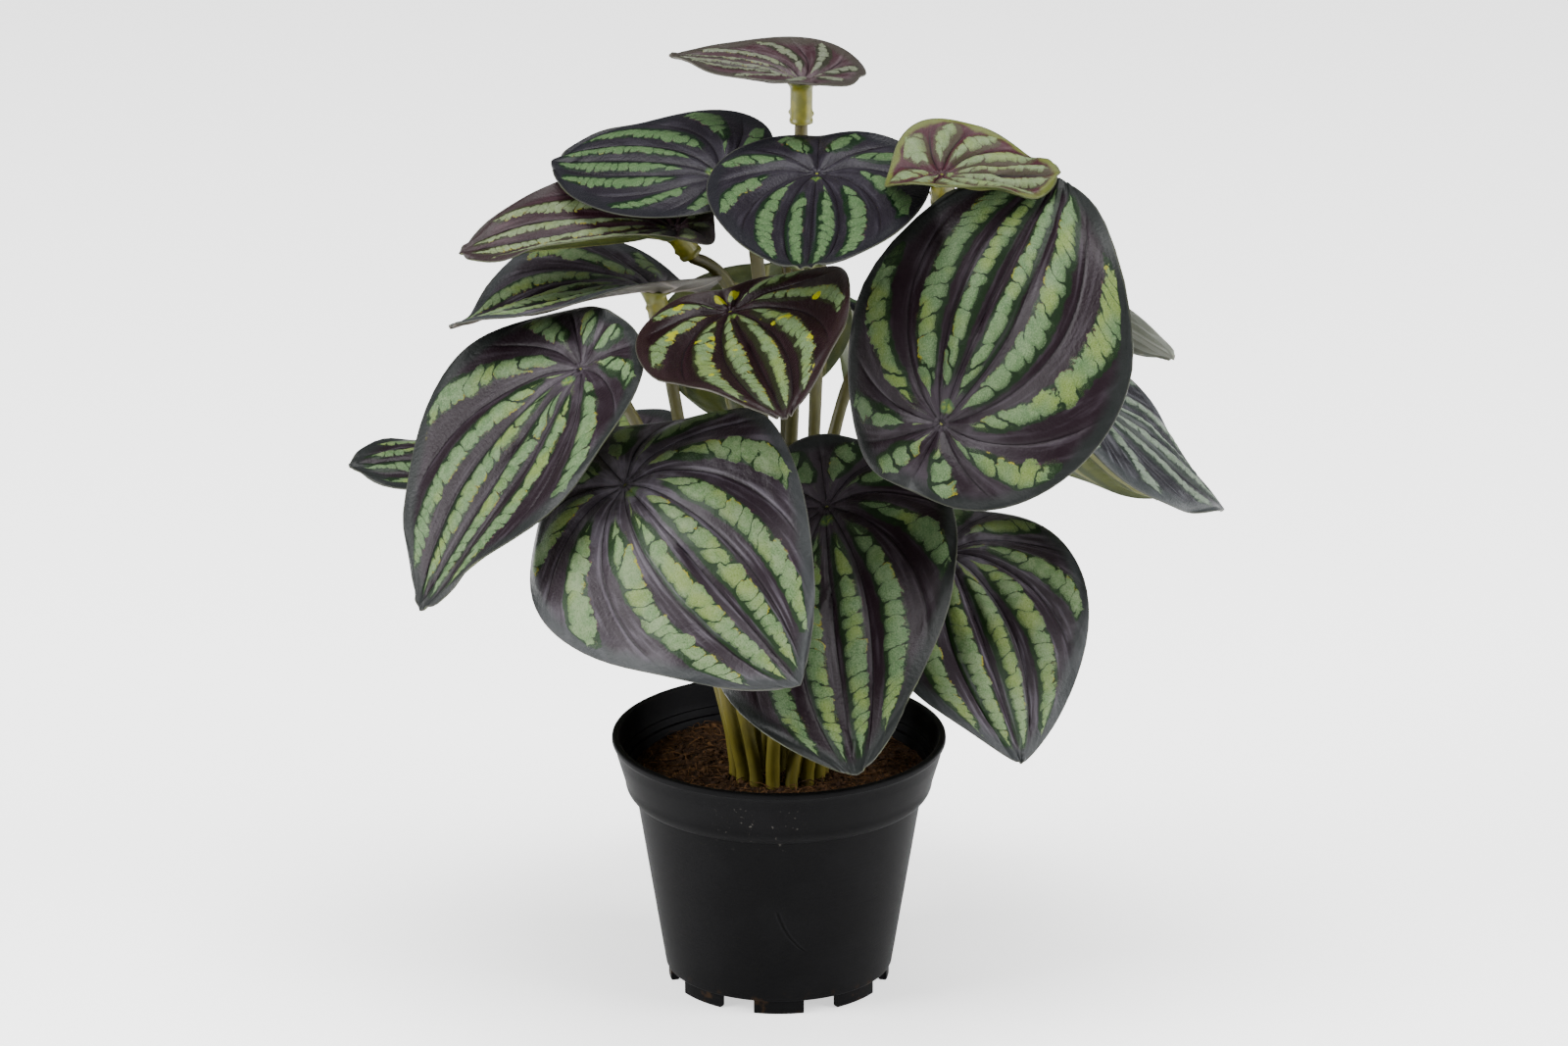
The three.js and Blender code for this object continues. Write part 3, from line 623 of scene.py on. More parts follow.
    def with_flecks(self, colour, halo):
        """Yellow blotches beside the cells, and a broken pink and yellow line along one side."""
        blotch = self.cloud(0.11).rise(0.64, 0.67) * self.look["blotch"]
        colour = self.mix(blotch * halo.rise(0.2, 0.8), colour, BLOTCH_COLOUR)
        rim = self.shape.rise(0.72, 0.95) * self.shape.rise(1.3, 1.1)
        rim = rim * self.cloud(0.45).rise(0.42, 0.6) * self.leftward.rise(0.02, 0.08)
        colour = self.mix(rim * self.shape.rise(0.95, 1.1) * 0.45, colour, FLECK_PINK)
        rarity = 1.05 - self.look["flecks"]
        yellow = rim * (self.tone + self.fine * 0.6).rise(rarity, 1.15 - self.look["flecks"])
        return self.mix(yellow * 0.75, colour, FLECK_YELLOW)

    def with_veins(self, colour):
        """A dark line of painted shade along each vein's crease, with a painted satin highlight beside it.
        """
        crease = self.from_vein.rise(0.7, 0.15) * self.edge.rise(2, 7)
        vein_highlight = self.from_vein.rise(0.9, 1.3) * self.from_vein.rise(2.2, 1.5)
        vein_highlight = vein_highlight * (self.streak.rise(0.4, 0.7) * self.edge.rise(3, 9))
        colour = self.mix(vein_highlight * 0.4, colour, self.look["sheen_colour"])
        # crease is the painted shade in the groove along the vein.
        return self.mix(crease * 0.8, colour, CREASE_SHADE_COLOUR)

    def with_navel(self, colour):
        """A painted highlight ring round the navel and a green spot in front of it."""
        ring = (abs(self.reach - NAVEL_HIGHLIGHT_RADIUS) + self.fine * 0.5).rise(0.8, 0.3)
        colour = self.mix(ring * 0.55, colour, self.look["sheen_colour"])
        from_dot = self.math("SQRT", abs(self.x - DOT_PLACE) ** 2 + abs(self.y) ** 2)
        dot = (from_dot + self.fine * 2.4).rise(2.6, 1.3)
        dotted = self.mix(self.fine.rise(-0.05, 0.12), self.look["deep"], DOT_COLOUR)
        return self.mix(dot * 0.85, colour, dotted)


def upper_face(name, look):
    net = UpperFace("leaf_upper_" + name, {**USUAL_LOOK, **look})
    halo = net.halo()
    colour = net.mix(net.green * 0.97, net.bands(halo), net.cells())
    colour = net.with_navel(net.with_veins(net.with_flecks(colour, halo)))
    # A painted highlight along the margin, where the light catches the edge.
    line = (net.edge + net.fine * 0.3).rise(0.4, 0.1)
    colour = net.mix(line * 0.5, colour, EDGE_HIGHLIGHT_COLOUR)
    height = net.grain * 0.35 + net.green * 0.4 + net.cloud(1, 3) * 0.8
    roughness = 0.31 + (net.grain * 0.12 + net.green * 0.12)
    return net.finish(colour, roughness, net.bump(height, 0.22), specular=0.13)


def under_face(name, leafy, veined, dark):
    """Paler under side, with the veins and the shadow of the cells showing through."""
    net = BladeNet("leaf_under_" + name)
    wobble = net.cloud(0.25) - 0.5
    across = abs(net.math("FRACT", net.band + wobble * 0.2) - 0.5)
    show = across.rise(0.36, 0.2) * net.reach.rise(10, 30)
    colour = net.mix(net.cloud(0.12, 3).rise(0.35, 0.65) * 0.5, leafy, dark)
    colour = net.mix(show * 0.45, dark, colour)
    colour = net.mix(net.from_vein.rise(1.3, 0.4) * 0.7, colour, veined)
    colour = net.mix(net.edge.rise(2, 0.3) * 0.7, colour, dark)
    grain = net.cloud(2.5, 3, 0.7)
    colour = net.mix(grain.rise(0.45, 0.75) * 0.25, colour, veined)
    return net.finish(colour, 0.5 + grain * 0.15, net.bump(grain, 0.12), specular=0.4)


def socket_skin():
    """Soft moulded plastic, yellow-green, duller towards the mouth."""
    net = Net("socket_skin")
    along = net.parts(net.attribute("flat"))[0]
    blotch = net.noise(net.place(), 0.35, 3)
    colour = net.mix(blotch.rise(0.4, 0.65), (136, 136, 56), (166, 160, 82))
    colour = net.mix(along.rise(0.6, 1) * 0.5, colour, (114, 112, 48))
    colour = net.mix(along.rise(0.25, 0) * 0.6, colour, (96, 106, 50))
    return net.finish(colour, 0.36 + blotch * 0.15, net.bump(blotch, 0.1))


def petiole_skin():
    """Olive rod, yellower at the soil and browner under the leaf, with faint long streaks."""
    net = Net("petiole_skin")
    share, around, seed = net.parts(net.attribute("flat"))
    place = net.place()
    streak = net.noise(net.vector(around * 4, share * 5, seed), 1, 4, 0.6)
    colour = net.mix(share.rise(0, 0.45), (150, 140, 78), (84, 82, 38))
    colour = net.mix(share.rise(0.6, 1) * 0.6, colour, (88, 70, 42))
    colour = net.mix(streak.rise(0.42, 0.7) * 0.5, colour, (116, 112, 60))
    colour = net.mix(net.noise(place, 0.12, 3).rise(0.5, 0.75) * 0.4, colour, (62, 62, 40))
    height = streak + net.noise(place, 1.2) * 0.4
    return net.finish(colour, 0.42 + streak * 0.2, net.bump(height, 0.15), specular=0.4)


# Materials of the pot and the soil

def worn(net, place, front, colour):
    """Specks where the collar is rubbed in front, and dust low down."""
    x, _, z = net.parts(place)
    rubbed = z.rise(58, 62) * abs(x + 6).rise(17, 7) * z.rise(78, 72) * front
    speck = net.noise(place, 0.75, 1.5).rise(0.66, 0.74)
    colour = net.mix(speck * (rubbed * 0.5), colour, (120, 117, 112))
    dust = z.rise(9, 3) * net.noise(place, 0.25, 3).rise(0.56, 0.7)
    return net.mix(dust * 0.5, colour, (74, 58, 44))


def painted_inner_light(net, place, colour):
    """Painted light: the inner wall, which faces the axis, is a little paler."""
    x, y, z = net.parts(place)
    normal = net.give("ShaderNodeNewGeometry", "Normal", {})
    inputs = {0: normal, 1: net.vector(x, y, 0)}
    outward = net.give("ShaderNodeVectorMath", "Value", inputs, operation="DOT_PRODUCT")
    return net.mix(outward.rise(-10, -30) * z.rise(40, 50), colour, (46, 46, 48))


def from_scuff(net, place):
    """How far a point is from the curved scuff on the front, and whether it is level with it."""
    x, _, z = net.parts(place)
    fallen = net.most((38 - z) / 15.5, 0)
    curved = fallen * 4.5 + fallen ** 3 * 4.5
    return abs(x + 0.7 - curved), z.rise(22, 24) * z.rise(38.5, 36)


def pot_plastic():
    """Matt black plastic with a fine grain, rubbed edges, dust low down, one scuff with a painted highlight
    beside it, and painted light on the inner wall.
    """
    net = Net("pot_plastic")
    place = net.place()
    _, y, z = net.parts(place)
    grain = net.noise(place, 1.6, 4, 0.65)
    smudge = net.noise(place, 0.05, 3, 0.55)
    front = y.rise(0, -10)
    colour = net.mix(smudge.rise(0.4, 0.7), (15, 15, 16), (21, 21, 22))
    colour = painted_inner_light(net, place, worn(net, place, front, colour))
    gap, level = from_scuff(net, place)
    # A painted highlight along both sides of the scuff.
    scuff_highlight = gap.rise(0.4, 0.7) * gap.rise(1.4, 0.8) * level * front
    colour = net.mix(scuff_highlight * 0.14, colour, (58, 58, 60))
    scuff = gap.rise(0.5, 0.15) * level * front
    colour = net.mix(scuff * 0.9, colour, (5, 5, 5))
    rings = net.noise(net.vector(0, 0, z), 1.4)
    height = grain * 0.5 + (rings * 0.4 + smudge * 0.8) - scuff * 2
    roughness = 0.42 + (grain * 0.12 + smudge * 0.12)
    return net.finish(colour, roughness, net.bump(height, 0.12), specular=0.038)


def soil_skin():
    """Damp brown coconut fibre, with painted highlights on its raised grains and painted shade in its
    hollows.
    """
    net = Net("soil_skin")
    place = net.place()
    coarse = net.noise(place, 0.25, 4, 0.65)
    fine = net.noise(place, 1.6, 5, 0.7)
    colour = net.mix(coarse.rise(0.35, 0.65), (60, 45, 35), (108, 82, 63))
    # Painted highlight where the fine bumps rise.
    colour = net.mix(fine.rise(0.52, 0.7) * 0.6, colour, (142, 110, 82))
    # Painted shade where the fine bumps sink.
    colour = net.mix(fine.rise(0.42, 0.3), colour, (34, 25, 19))
    return net.finish(colour, 0.9, net.bump(coarse + fine, 0.8), specular=0.2)


def strand_skin():
    """Single fibres and crumbs, each with its own brown."""
    net = Net("strand_skin")
    tone = net.parts(net.attribute("flat"))[0]
    blotch = net.noise(net.place(), 0.8, 3)
    colour = net.mix(tone, (66, 49, 38), (158, 122, 90))
    colour = net.mix(blotch.rise(0.4, 0.65) * 0.5, colour, (84, 61, 46))
    return net.finish(colour, 0.85, net.bump(blotch, 0.2), specular=0.2)


# The blade drawn flat: the petiole meets it at 0, 0 and the tip lies along +x

def inside_outline(leaf, x, y):
    sunk = np.where(x < 0, leaf["notch"] * np.exp(-((y / (NOTCH_WIDTH * leaf["length"])) ** 2)), 0)
    along = x / leaf["length"] + leaf["lobe"] - sunk
    within = np.clip(along, 1e-9, 1 - 1e-9)
    peak = BASE_POWER / (BASE_POWER + leaf["taper"])
    top = peak**BASE_POWER * (1 - peak) ** leaf["taper"]
    half = 0.5 * leaf["width"] * leaf["length"] * within**BASE_POWER * (1 - within) ** leaf["taper"] / top
    side = np.where(y > 0, 1 + leaf["skew"], 1 - leaf["skew"])
    return (along > 0) & (along < 1) & (np.abs(y) < half * side)


def vein_points(leaf, share, angle):
    """A vein is an arc that leaves the petiole at an angle to the midrib and bends back to the tip."""
    pole = POLE * (1 - leaf["lobe"]) * leaf["length"]
    turn = np.where(np.abs(angle) < 1e-4, 1e-4, angle)
    reach = pole * np.sin(share * turn) / np.sin(turn)
    return reach * np.cos(turn * (1 - share)), reach * np.sin(turn * (1 - share))


def margin_shares(leaf, angles):
    """Share of each vein's arc that lies inside the outline: step out, then halve."""
    step = 1 / MARGIN_STEPS
    inner = np.zeros(len(angles))
    going = np.ones(len(angles), bool)
    for _ in range(MARGIN_STEPS - 1):
        going &= inside_outline(leaf, *vein_points(leaf, inner + step, angles))
        inner = np.where(going, inner + step, inner)
    outer = inner + step
    for _ in range(MARGIN_HALVINGS):
        middle = (inner + outer) / 2
        within = inside_outline(leaf, *vein_points(leaf, middle, angles))
        inner = np.where(within, middle, inner)
        outer = np.where(within, outer, middle)
    return inner


def ray_bands():
    """Rays of the net, from the midrib round the left side, the back and the right side: whole
    numbers are veins, counted from the midrib, and the right side's are negative."""
    half = [band + share for band in range(LAST_BAND) for share in BAND_SHARES]
    return np.array(half + [LAST_BAND] + [-band for band in reversed(half[1:])])


def ring_shares():
    plain = np.linspace(NAVEL_RINGS[-1], EDGE_RINGS[0], PLAIN_RINGS + 2)[1:-1]
    return np.concatenate([NAVEL_RINGS, plain, EDGE_RINGS])


def midrib(leaf, share):
    """The midrib bends as an arc, with more bend at a curled tip: x, z and slope at a share of it."""
    def slope_at(at):
        curled = np.clip((at - CURL_START) / (1 - CURL_START), 0, 2)
        return np.radians(leaf["bend"] * at + leaf["curl"] * curled**2)

    x = np.zeros_like(share)
    z = np.zeros_like(share)
    for i in range(RIB_STEPS):
        slope = slope_at(share * (i + 0.5) / RIB_STEPS)
        x += np.cos(slope) * share / RIB_STEPS
        z -= np.sin(slope) * share / RIB_STEPS
    return x, z, slope_at(share)


def from_margin(x, y):
    """Distance of each point of a net of rings and rays to the polygon of its last ring."""
    points = np.stack([x.ravel(), y.ravel()], 1)
    margin = np.stack([x[-1], y[-1]], 1)
    along = np.roll(margin, -1, 0) - margin
    length = (along**2).sum(1) + 1e-12
    nearest = np.full(len(points), np.inf)
    for corner, side, square in zip(margin, along, length):
        share = np.clip(((points - corner) @ side) / square, 0, 1)
        gap = points - corner - share[:, None] * side
        nearest = np.minimum(nearest, np.hypot(gap[:, 0], gap[:, 1]))
    return nearest.reshape(x.shape)


def flat_net(leaf):
    """The net of a blade before it is bent: places, shares and what the markings need to know."""
    bands = ray_bands()
    degrees = np.interp(np.abs(bands), np.arange(LAST_BAND + 1), VEIN_DEGREES)
    angles = np.radians(np.clip(degrees, 0, 179.9)) * np.where(bands < 0, -1, 1)
    rings = ring_shares()
    shares = rings[:, None] * margin_shares(leaf, angles)[None, :]
    x, y = vein_points(leaf, shares, angles[None, :])
    share = np.broadcast_to(rings[:, None], x.shape)
    band = np.broadcast_to(np.abs(bands)[None, :], x.shape)

    steps = np.hypot(np.diff(x, axis=0, prepend=0), np.diff(y, axis=0, prepend=0))
    reach = np.cumsum(steps, axis=0)
    gaps = np.hypot(np.roll(x, -1, 1) - x, np.roll(y, -1, 1) - y)
    per_band = len(BAND_SHARES)
    index = np.arange(len(bands)) // per_band % (2 * LAST_BAND)
    widths = np.stack([gaps[:, index == i].sum(1) for i in range(2 * LAST_BAND)], 1)
    width = widths[:, index]

    length = leaf["length"]
    sway = np.sin(2.1 * band + leaf["seed"]) + 0.6 * np.sin(reach / 7 + 2.7 * band + leaf["seed"])
    cell = reach / length * CELLS * (1 + TIP_CROWDING * (reach / length) ** 2) + 0.35 * sway
    return dict(x=x, y=y, share=share, band=band, reach=reach, width=width, cell=cell,
                edge=from_margin(x, y))


def relief(leaf, net):
    """Pillows between the veins, creases along them, quilted cells, and the funnel at the navel."""
    part = net["band"] % 1
    pillow = np.sin(np.pi * part) ** 2
    fade = np.minimum(1, net["share"] * 3) * np.maximum(0, 1 - net["share"] ** 4)
    radius = np.hypot(net["x"], net["y"])
    funnel = NAVEL_DEPTH * np.exp(-((radius / NAVEL_RADIUS) ** 2))
    from_vein = np.minimum(part, 1 - part) * net["width"]
    line = np.exp(-((from_vein / CREASE_WIDTH) ** 2))
    crease = CREASE_DEPTH * line * smooth_step(radius, 2, 8) * smooth_step(net["edge"], 1, 7)
    quilt = QUILT * pillow * fade * np.cos(2 * np.pi * net["cell"]) * smooth_step(net["reach"], 10, 26)
    a = net["x"] / 13 + leaf["seed"]
    b = net["y"] / 11 - 2 * leaf["seed"]
    rolling = UNDULATION * (np.sin(a + 1.7 * np.sin(b)) + np.sin(1.3 * b + 1.1 * np.sin(1.6 * a))) / 2
    nub = NAVEL_NUB * np.exp(-(((radius - NAVEL_NUB_RADIUS) / NUB_WIDTH) ** 2))
    along = net["reach"] / RIPPLE_LENGTH + 5 * net["band"]
    ripple = np.sin(along + 1.5 * np.sin(0.6 * along) + leaf["seed"])
    ripple = MARGIN_RIPPLE * net["share"] ** RIPPLE_POWER * ripple
    return PILLOW * pillow * fade - funnel - crease - quilt + rolling * fade + nub + ripple


def mid_surface(leaf, net):
    length = leaf["length"]
    reach = (1 - leaf["lobe"]) * length
    width = leaf["width"] * length
    rib_x, rib_z, slope = midrib(leaf, net["x"] / reach)
    around = np.arctan2(net["y"] / width, net["x"] / length - WAVE_CENTRE)
    phase = math.radians(leaf["phase"])
    wave = np.sin(3 * around + phase) + 0.5 * np.sin(5 * around + 2 * phase)
    lift = relief(leaf, net)
    lift = lift - leaf["dome"] * length * (2 * net["y"] / width) ** 2
    lift = lift - leaf["wave"] * length * net["share"] ** 2.5 * wave
    x = reach * rib_x + np.sin(slope) * lift
    z = reach * rib_z + np.cos(slope) * lift
    return np.stack([x, net["y"], z], -1)


def net_normals(surface):
    """Normals of a net of rings and rays, from its steps along and around."""
    around = np.roll(surface, -1, 1) - np.roll(surface, 1, 1)
    outward = np.gradient(surface, axis=0)
    normal = np.cross(outward, around)
    return normal / (np.linalg.norm(normal, axis=-1, keepdims=True) + 1e-12)


def place_of(leaf):
    """Place of a leaf: columns to its tip, to its left side and out of its upper face, and the navel."""
    heading, droop, roll = (math.radians(leaf[key]) for key in ("heading", "droop", "roll"))
    flat = math.cos(droop)
    tipward = np.array([flat * math.cos(heading), flat * math.sin(heading), -math.sin(droop)])
    level = np.array([-math.sin(heading), math.cos(heading), 0])
    left = level * math.cos(roll) + np.cross(tipward, level) * math.sin(roll)
    return np.stack([tipward, left, np.cross(tipward, left)], 1), np.array(leaf["at"], float)


# Blade: an upper and a lower face of the same net, closed by a rounded margin

def blade_points(net, surface):
    """The upper net, the lower net, each after its point at the navel, and the margin's own ring."""
    normal = net_normals(surface)
    offset = normal * (BLADE * (1 - EDGE_THIN * net["share"] ** 6) / 2)[..., None]
    navel = surface[0].mean(0)
    up = normal[0].mean(0)
    up /= np.linalg.norm(up)
    outward = surface[-1] - surface[-2]
    outward /= np.linalg.norm(outward, axis=-1, keepdims=True)
    upper = np.concatenate([[navel + up * BLADE / 2], (surface + offset).reshape(-1, 3)])
    lower = np.concatenate([[navel - up * BLADE / 2], (surface - offset).reshape(-1, 3)])
    return upper, lower, surface[-1] + outward * EDGE_BULGE


def blade_faces(rings, rays):
    """Upper and lower faces by turns: round the navel, over the net and round the margin."""
    under = 1 + rings * rays
    margin = 2 * under
    last = 1 + (rings - 1) * rays
    faces = []
    for i, j in neighbours(rays):
        faces += [(0, 1 + i, 1 + j), (under, under + 1 + j, under + 1 + i)]
    for a, b, c, d in grid_faces(rings, rays, 1):
        faces += [(a, d, c, b), (under + a, under + b, under + c, under + d)]
    for i, j in neighbours(rays):
        faces.append((last + i, margin + i, margin + j, last + j))
        faces.append((margin + i, under + last + i, under + last + j, margin + j))
    return faces


def blade_marks(leaf, net):
    """What the materials read at each point, with lengths as on a leaf of the full length."""
    def spread(*values):
        rows = np.stack([np.broadcast_to(value, net["x"].shape) for value in values], -1)
        flat = np.concatenate([[rows[0].mean(0)], rows.reshape(-1, 3)])
        return np.concatenate([flat, flat, rows[-1]])

    scale = FULL_LENGTH / leaf["length"]
    return {
        "flat": spread(net["x"] * scale, net["y"] * scale, SEED_SPREAD * leaf["seed"]),
        "vein": spread(net["band"], net["reach"] * scale, net["edge"]),
        "cells": spread(net["cell"], net["width"], net["share"]),
    }


# Socket under the blade: a flare, a splayed sleeve with mould seams and nubs, and its bore

def socket_axis(leaf, depth):
    splay = math.radians(leaf["splay"])
    turned = smooth_step(depth, 0, SOCKET_TURN)
    side = -math.sin(splay) * depth * turned
    down = depth * (1 + (math.cos(splay) - 1) * turned)
    return np.stack([side, np.zeros_like(side), -NAVEL_DEPTH - down], -1)


def socket_profile(leaf):
    """Depth under the navel and radius, from the blade down the sleeve and back up the bore."""
    mouth = leaf["socket"]
    widening = SOCKET_FLARE_RADIUS - SOCKET_RADIUS
    depths = np.linspace(0, SOCKET_FLARE_HEIGHT, 6)
    flare = [(depth, SOCKET_RADIUS + widening * (1 - depth / SOCKET_FLARE_HEIGHT) ** 2) for depth in depths]
    sleeve = [(depth, SOCKET_RADIUS) for depth in np.arange(SOCKET_TURN, mouth - 1.7, SLEEVE_STEP)]
    lip = [(mouth - above, SOCKET_RADIUS + swell) for above, swell in SOCKET_LIP]
    bore = [(mouth, SOCKET_BORE + 0.3), (mouth - 0.2, SOCKET_BORE), (mouth - SOCKET_PLUG, SOCKET_BORE)]
    return np.array([(-SOCKET_ROOT, SOCKET_FLARE_RADIUS + 0.5)] + flare + sleeve + lip + bore)


def socket_relief(leaf, depth, around):
    """Two mould seams down the sleeve, and a flash nub on each."""
    seam = SOCKET_SEAM * np.exp(-((np.sin(around) / SEAM_WIDTH) ** 2))[None, :]
    seam = seam * (depth > SEAM_START)[:, None]
    nub = np.zeros((len(depth), SOCKET_SIDES))
    other = NUB_ABOVE_MOUTH + NUB_SHIFT * (leaf["seed"] % 2)
    for turn, above in ((0.0, NUB_ABOVE_MOUTH), (math.pi, other)):
        bend = np.angle(np.exp(1j * (around - turn)))[None, :] * SOCKET_RADIUS
        fall = (depth - leaf["socket"] + above)[:, None]
        nub += NUB_HEIGHT * np.exp(-((bend**2 + fall**2) / NUB_RADIUS**2))
    return seam + nub


def socket_parts(leaf):
    depth, radius = socket_profile(leaf).T
    outside = np.arange(len(depth)) < len(depth) - 3
    ahead = socket_axis(leaf, depth + 0.05) - socket_axis(leaf, depth - 0.05)
    down = ahead / np.linalg.norm(ahead, axis=1, keepdims=True)
    across = np.broadcast_to([0.0, 1.0, 0.0], down.shape)
    around = ring_angles(SOCKET_SIDES)
    wide = radius[:, None] + socket_relief(leaf, depth, around) * outside[:, None]
    points = tube_points(socket_axis(leaf, depth), wide, np.cross(across, down), across, around)
    root, mouth = end_faces(len(depth), SOCKET_SIDES)
    faces = [root, *grid_faces(len(depth), SOCKET_SIDES), mouth]
    along = np.repeat(np.clip(depth / leaf["socket"], 0, 1), SOCKET_SIDES)
    return points, faces, along


def make_leaf(leaf, upper, under, socket):
    net = flat_net(leaf)
    points = np.concatenate(blade_points(net, mid_surface(leaf, net)))
    faces = blade_faces(*net["x"].shape)
    kinds = [0, 1] * (len(faces) // 2)
    extra, extra_faces, along = socket_parts(leaf)
    faces += [tuple(len(points) + i for i in face) for face in extra_faces]
    kinds += [2] * len(extra_faces)
    turn, at = place_of(leaf)
    everything = np.concatenate([points, extra]) @ turn.T + at
    made = new_object("leaf_" + leaf["name"] + "_fine", everything, faces, [upper, under, socket], kinds)
    blank = np.zeros((len(extra), 3))
    added = dict(flat=np.stack([along, 0 * along, 0 * along], 1), vein=blank, cells=blank)
    for name, values in blade_marks(leaf, net).items():
        store(made, name, np.concatenate([values, added[name]]))
    place_piece(made, "leaf", "leaf_" + leaf["name"])


# Petioles

def bearing(leaf):
    return math.atan2(leaf["at"][1], leaf["at"][0])


def standing_places():
    """Where the petioles stand: one in the middle and two rings, each turned to face its leaf."""
    places = {}
    for ring, radius in ((0, 0), (1, INNER_RING), (2, OUTER_RING)):
        group = sorted([leaf for leaf in LEAVES if leaf["ring"] == ring], key=bearing)
        step = 2 * math.pi / len(group)
        turn = sum(bearing(leaf) + math.pi - i * step for i, leaf in enumerate(group))
        for i, leaf in enumerate(group):
            angle = turn / len(group) - math.pi + i * step
            places[leaf["name"]] = polar(radius, angle)
    return places


def petiole_line(leaf, foot, shares):
    """A petiole rises from its place in the soil, bends, and runs straight into its socket."""
    turn, at = place_of(leaf)
    splay = math.radians(leaf["splay"])

    def below(depth):
        local = np.array([-math.sin(splay) * depth, 0, -NAVEL_DEPTH - math.cos(splay) * depth])
        return turn @ local + at

    start = np.array([foot[0], foot[1], SOIL_LEVEL - HOLE_DEPTH + HOLE_CLEAR])
    free = start + [0, 0, FOOT_RISE]
    leaned = [place * LEAN + bow for place, bow in zip(foot, leaf["bow"])]
    above = np.array([*leaned, free[2] + leaf["rise"]])
    under = below(leaf["socket"] + leaf["reach"])
    top = below(leaf["socket"] + 1)
    head = below(leaf["socket"] - SOCKET_PLUG)
    end = 1 / STEM_STEPS
    points = []
    for share in shares:
        if share < end:
            points.append(start + (free - start) * share / end)
        elif share > 1 - end:
            points.append(top + (head - top) * (share - 1 + end) / end)
        else:
            t = (share - end) / (1 - 2 * end)
            s = 1 - t
            points.append(free * s**3 + 3 * above * s * s * t + 3 * under * s * t * t + top * t**3)
    return np.array(points)


def petiole_swell(shares, seed):
    """Share of the usual radius: uneven along the rod, wider at the foot, and true in the socket."""
    swell = 1 + 0.045 * np.sin(17 * shares + seed) + 0.03 * np.sin(41 * shares + 2 * seed)
    swell += FOOT_SWELL * np.exp(-((shares / FOOT_SWELL_END) ** 2))
    return np.minimum(swell, np.where(shares > 1 - 1 / STEM_STEPS, PLUG_SWELL, 2))


def make_petiole(leaf, foot, skin):
    shares = np.linspace(0, 1, STEM_RINGS)
    line = petiole_line(leaf, foot, shares)
    ahead = np.gradient(line, axis=0)
    ahead /= np.linalg.norm(ahead, axis=1, keepdims=True)
    across = np.cross(ahead, [0.31, 0.95, 0.05])
    across /= np.linalg.norm(across, axis=1, keepdims=True)
    around = ring_angles(STEM_SIDES)
    seed = leaf["seed"]
    ridge = 1 + STEM_RIDGE * np.cos(around * STEM_RIDGES + seed)
    radius = STEM_RADIUS * petiole_swell(shares, seed)[:, None] * ridge[None, :]
    points = tube_points(line, radius, across, np.cross(ahead, across), around)
    faces = grid_faces(STEM_RINGS, STEM_SIDES) + end_faces(STEM_RINGS, STEM_SIDES)
    made = new_object("stem_" + leaf["name"] + "_fine", points, faces, [skin], sharp=STEM_CREASE)
    share = np.repeat(shares, STEM_SIDES)
    turn = np.tile(np.sin(around), STEM_RINGS)
    store(made, "flat", np.stack([share, turn, np.full(len(share), STEM_SEED_SPREAD * seed)], 1))
    place_piece(made, "petiole", "stem_" + leaf["name"])


# Pot

def corner_arc(centre, radius, from_degrees, to_degrees, steps=5):
    angles = np.radians(np.linspace(from_degrees, to_degrees, steps))
    return [(centre[0] + radius * math.cos(a), centre[1] + radius * math.sin(a)) for a in angles]


def straight(start, end, steps):
    return [tuple(point) for point in np.linspace(start, end, steps + 1)[1:-1]]


def outer_wall():
    """Radius and height up the outside: rounded floor edge, tapered wall, shoulder, collar and lip."""
    low = (BODY_LOW_RADIUS, FOOT_HEIGHT + EDGE_ROUND)
    shoulder = []
    for turn in np.linspace(90, 0, SHOULDER_STEPS):
        inward = (COLLAR_LOW_RADIUS - BODY_TOP_RADIUS) * (1 - math.cos(math.radians(turn)))
        downward = (COLLAR_LOW_Z - SHOULDER_Z) * math.sin(math.radians(turn))
        shoulder.append((COLLAR_LOW_RADIUS - inward, COLLAR_LOW_Z - downward))
    neck = (COLLAR_TOP_RADIUS, LIP_Z - NECK_HEIGHT)
    cove = [(COLLAR_TOP_RADIUS + 0.35, LIP_Z - 1.6), (COLLAR_TOP_RADIUS + EDGE_ROUND, LIP_Z - 0.5)]
    cove += [(RIM_RADIUS - 0.1, LIP_Z - 0.15), (RIM_RADIUS, LIP_Z + 0.15)]
    return (
        [(BODY_LOW_RADIUS - EDGE_ROUND, FOOT_HEIGHT)]
        + corner_arc((BODY_LOW_RADIUS - EDGE_ROUND, low[1]), EDGE_ROUND, -70, 0)
        + straight(low, (BODY_TOP_RADIUS, SHOULDER_Z), 16)
        + shoulder
        + straight(shoulder[-1], neck, 5)
        + [neck]
        + cove
        + corner_arc((RIM_RADIUS - LIP_ROUND, POT_HEIGHT - LIP_ROUND), LIP_ROUND, 0, 90)
    )


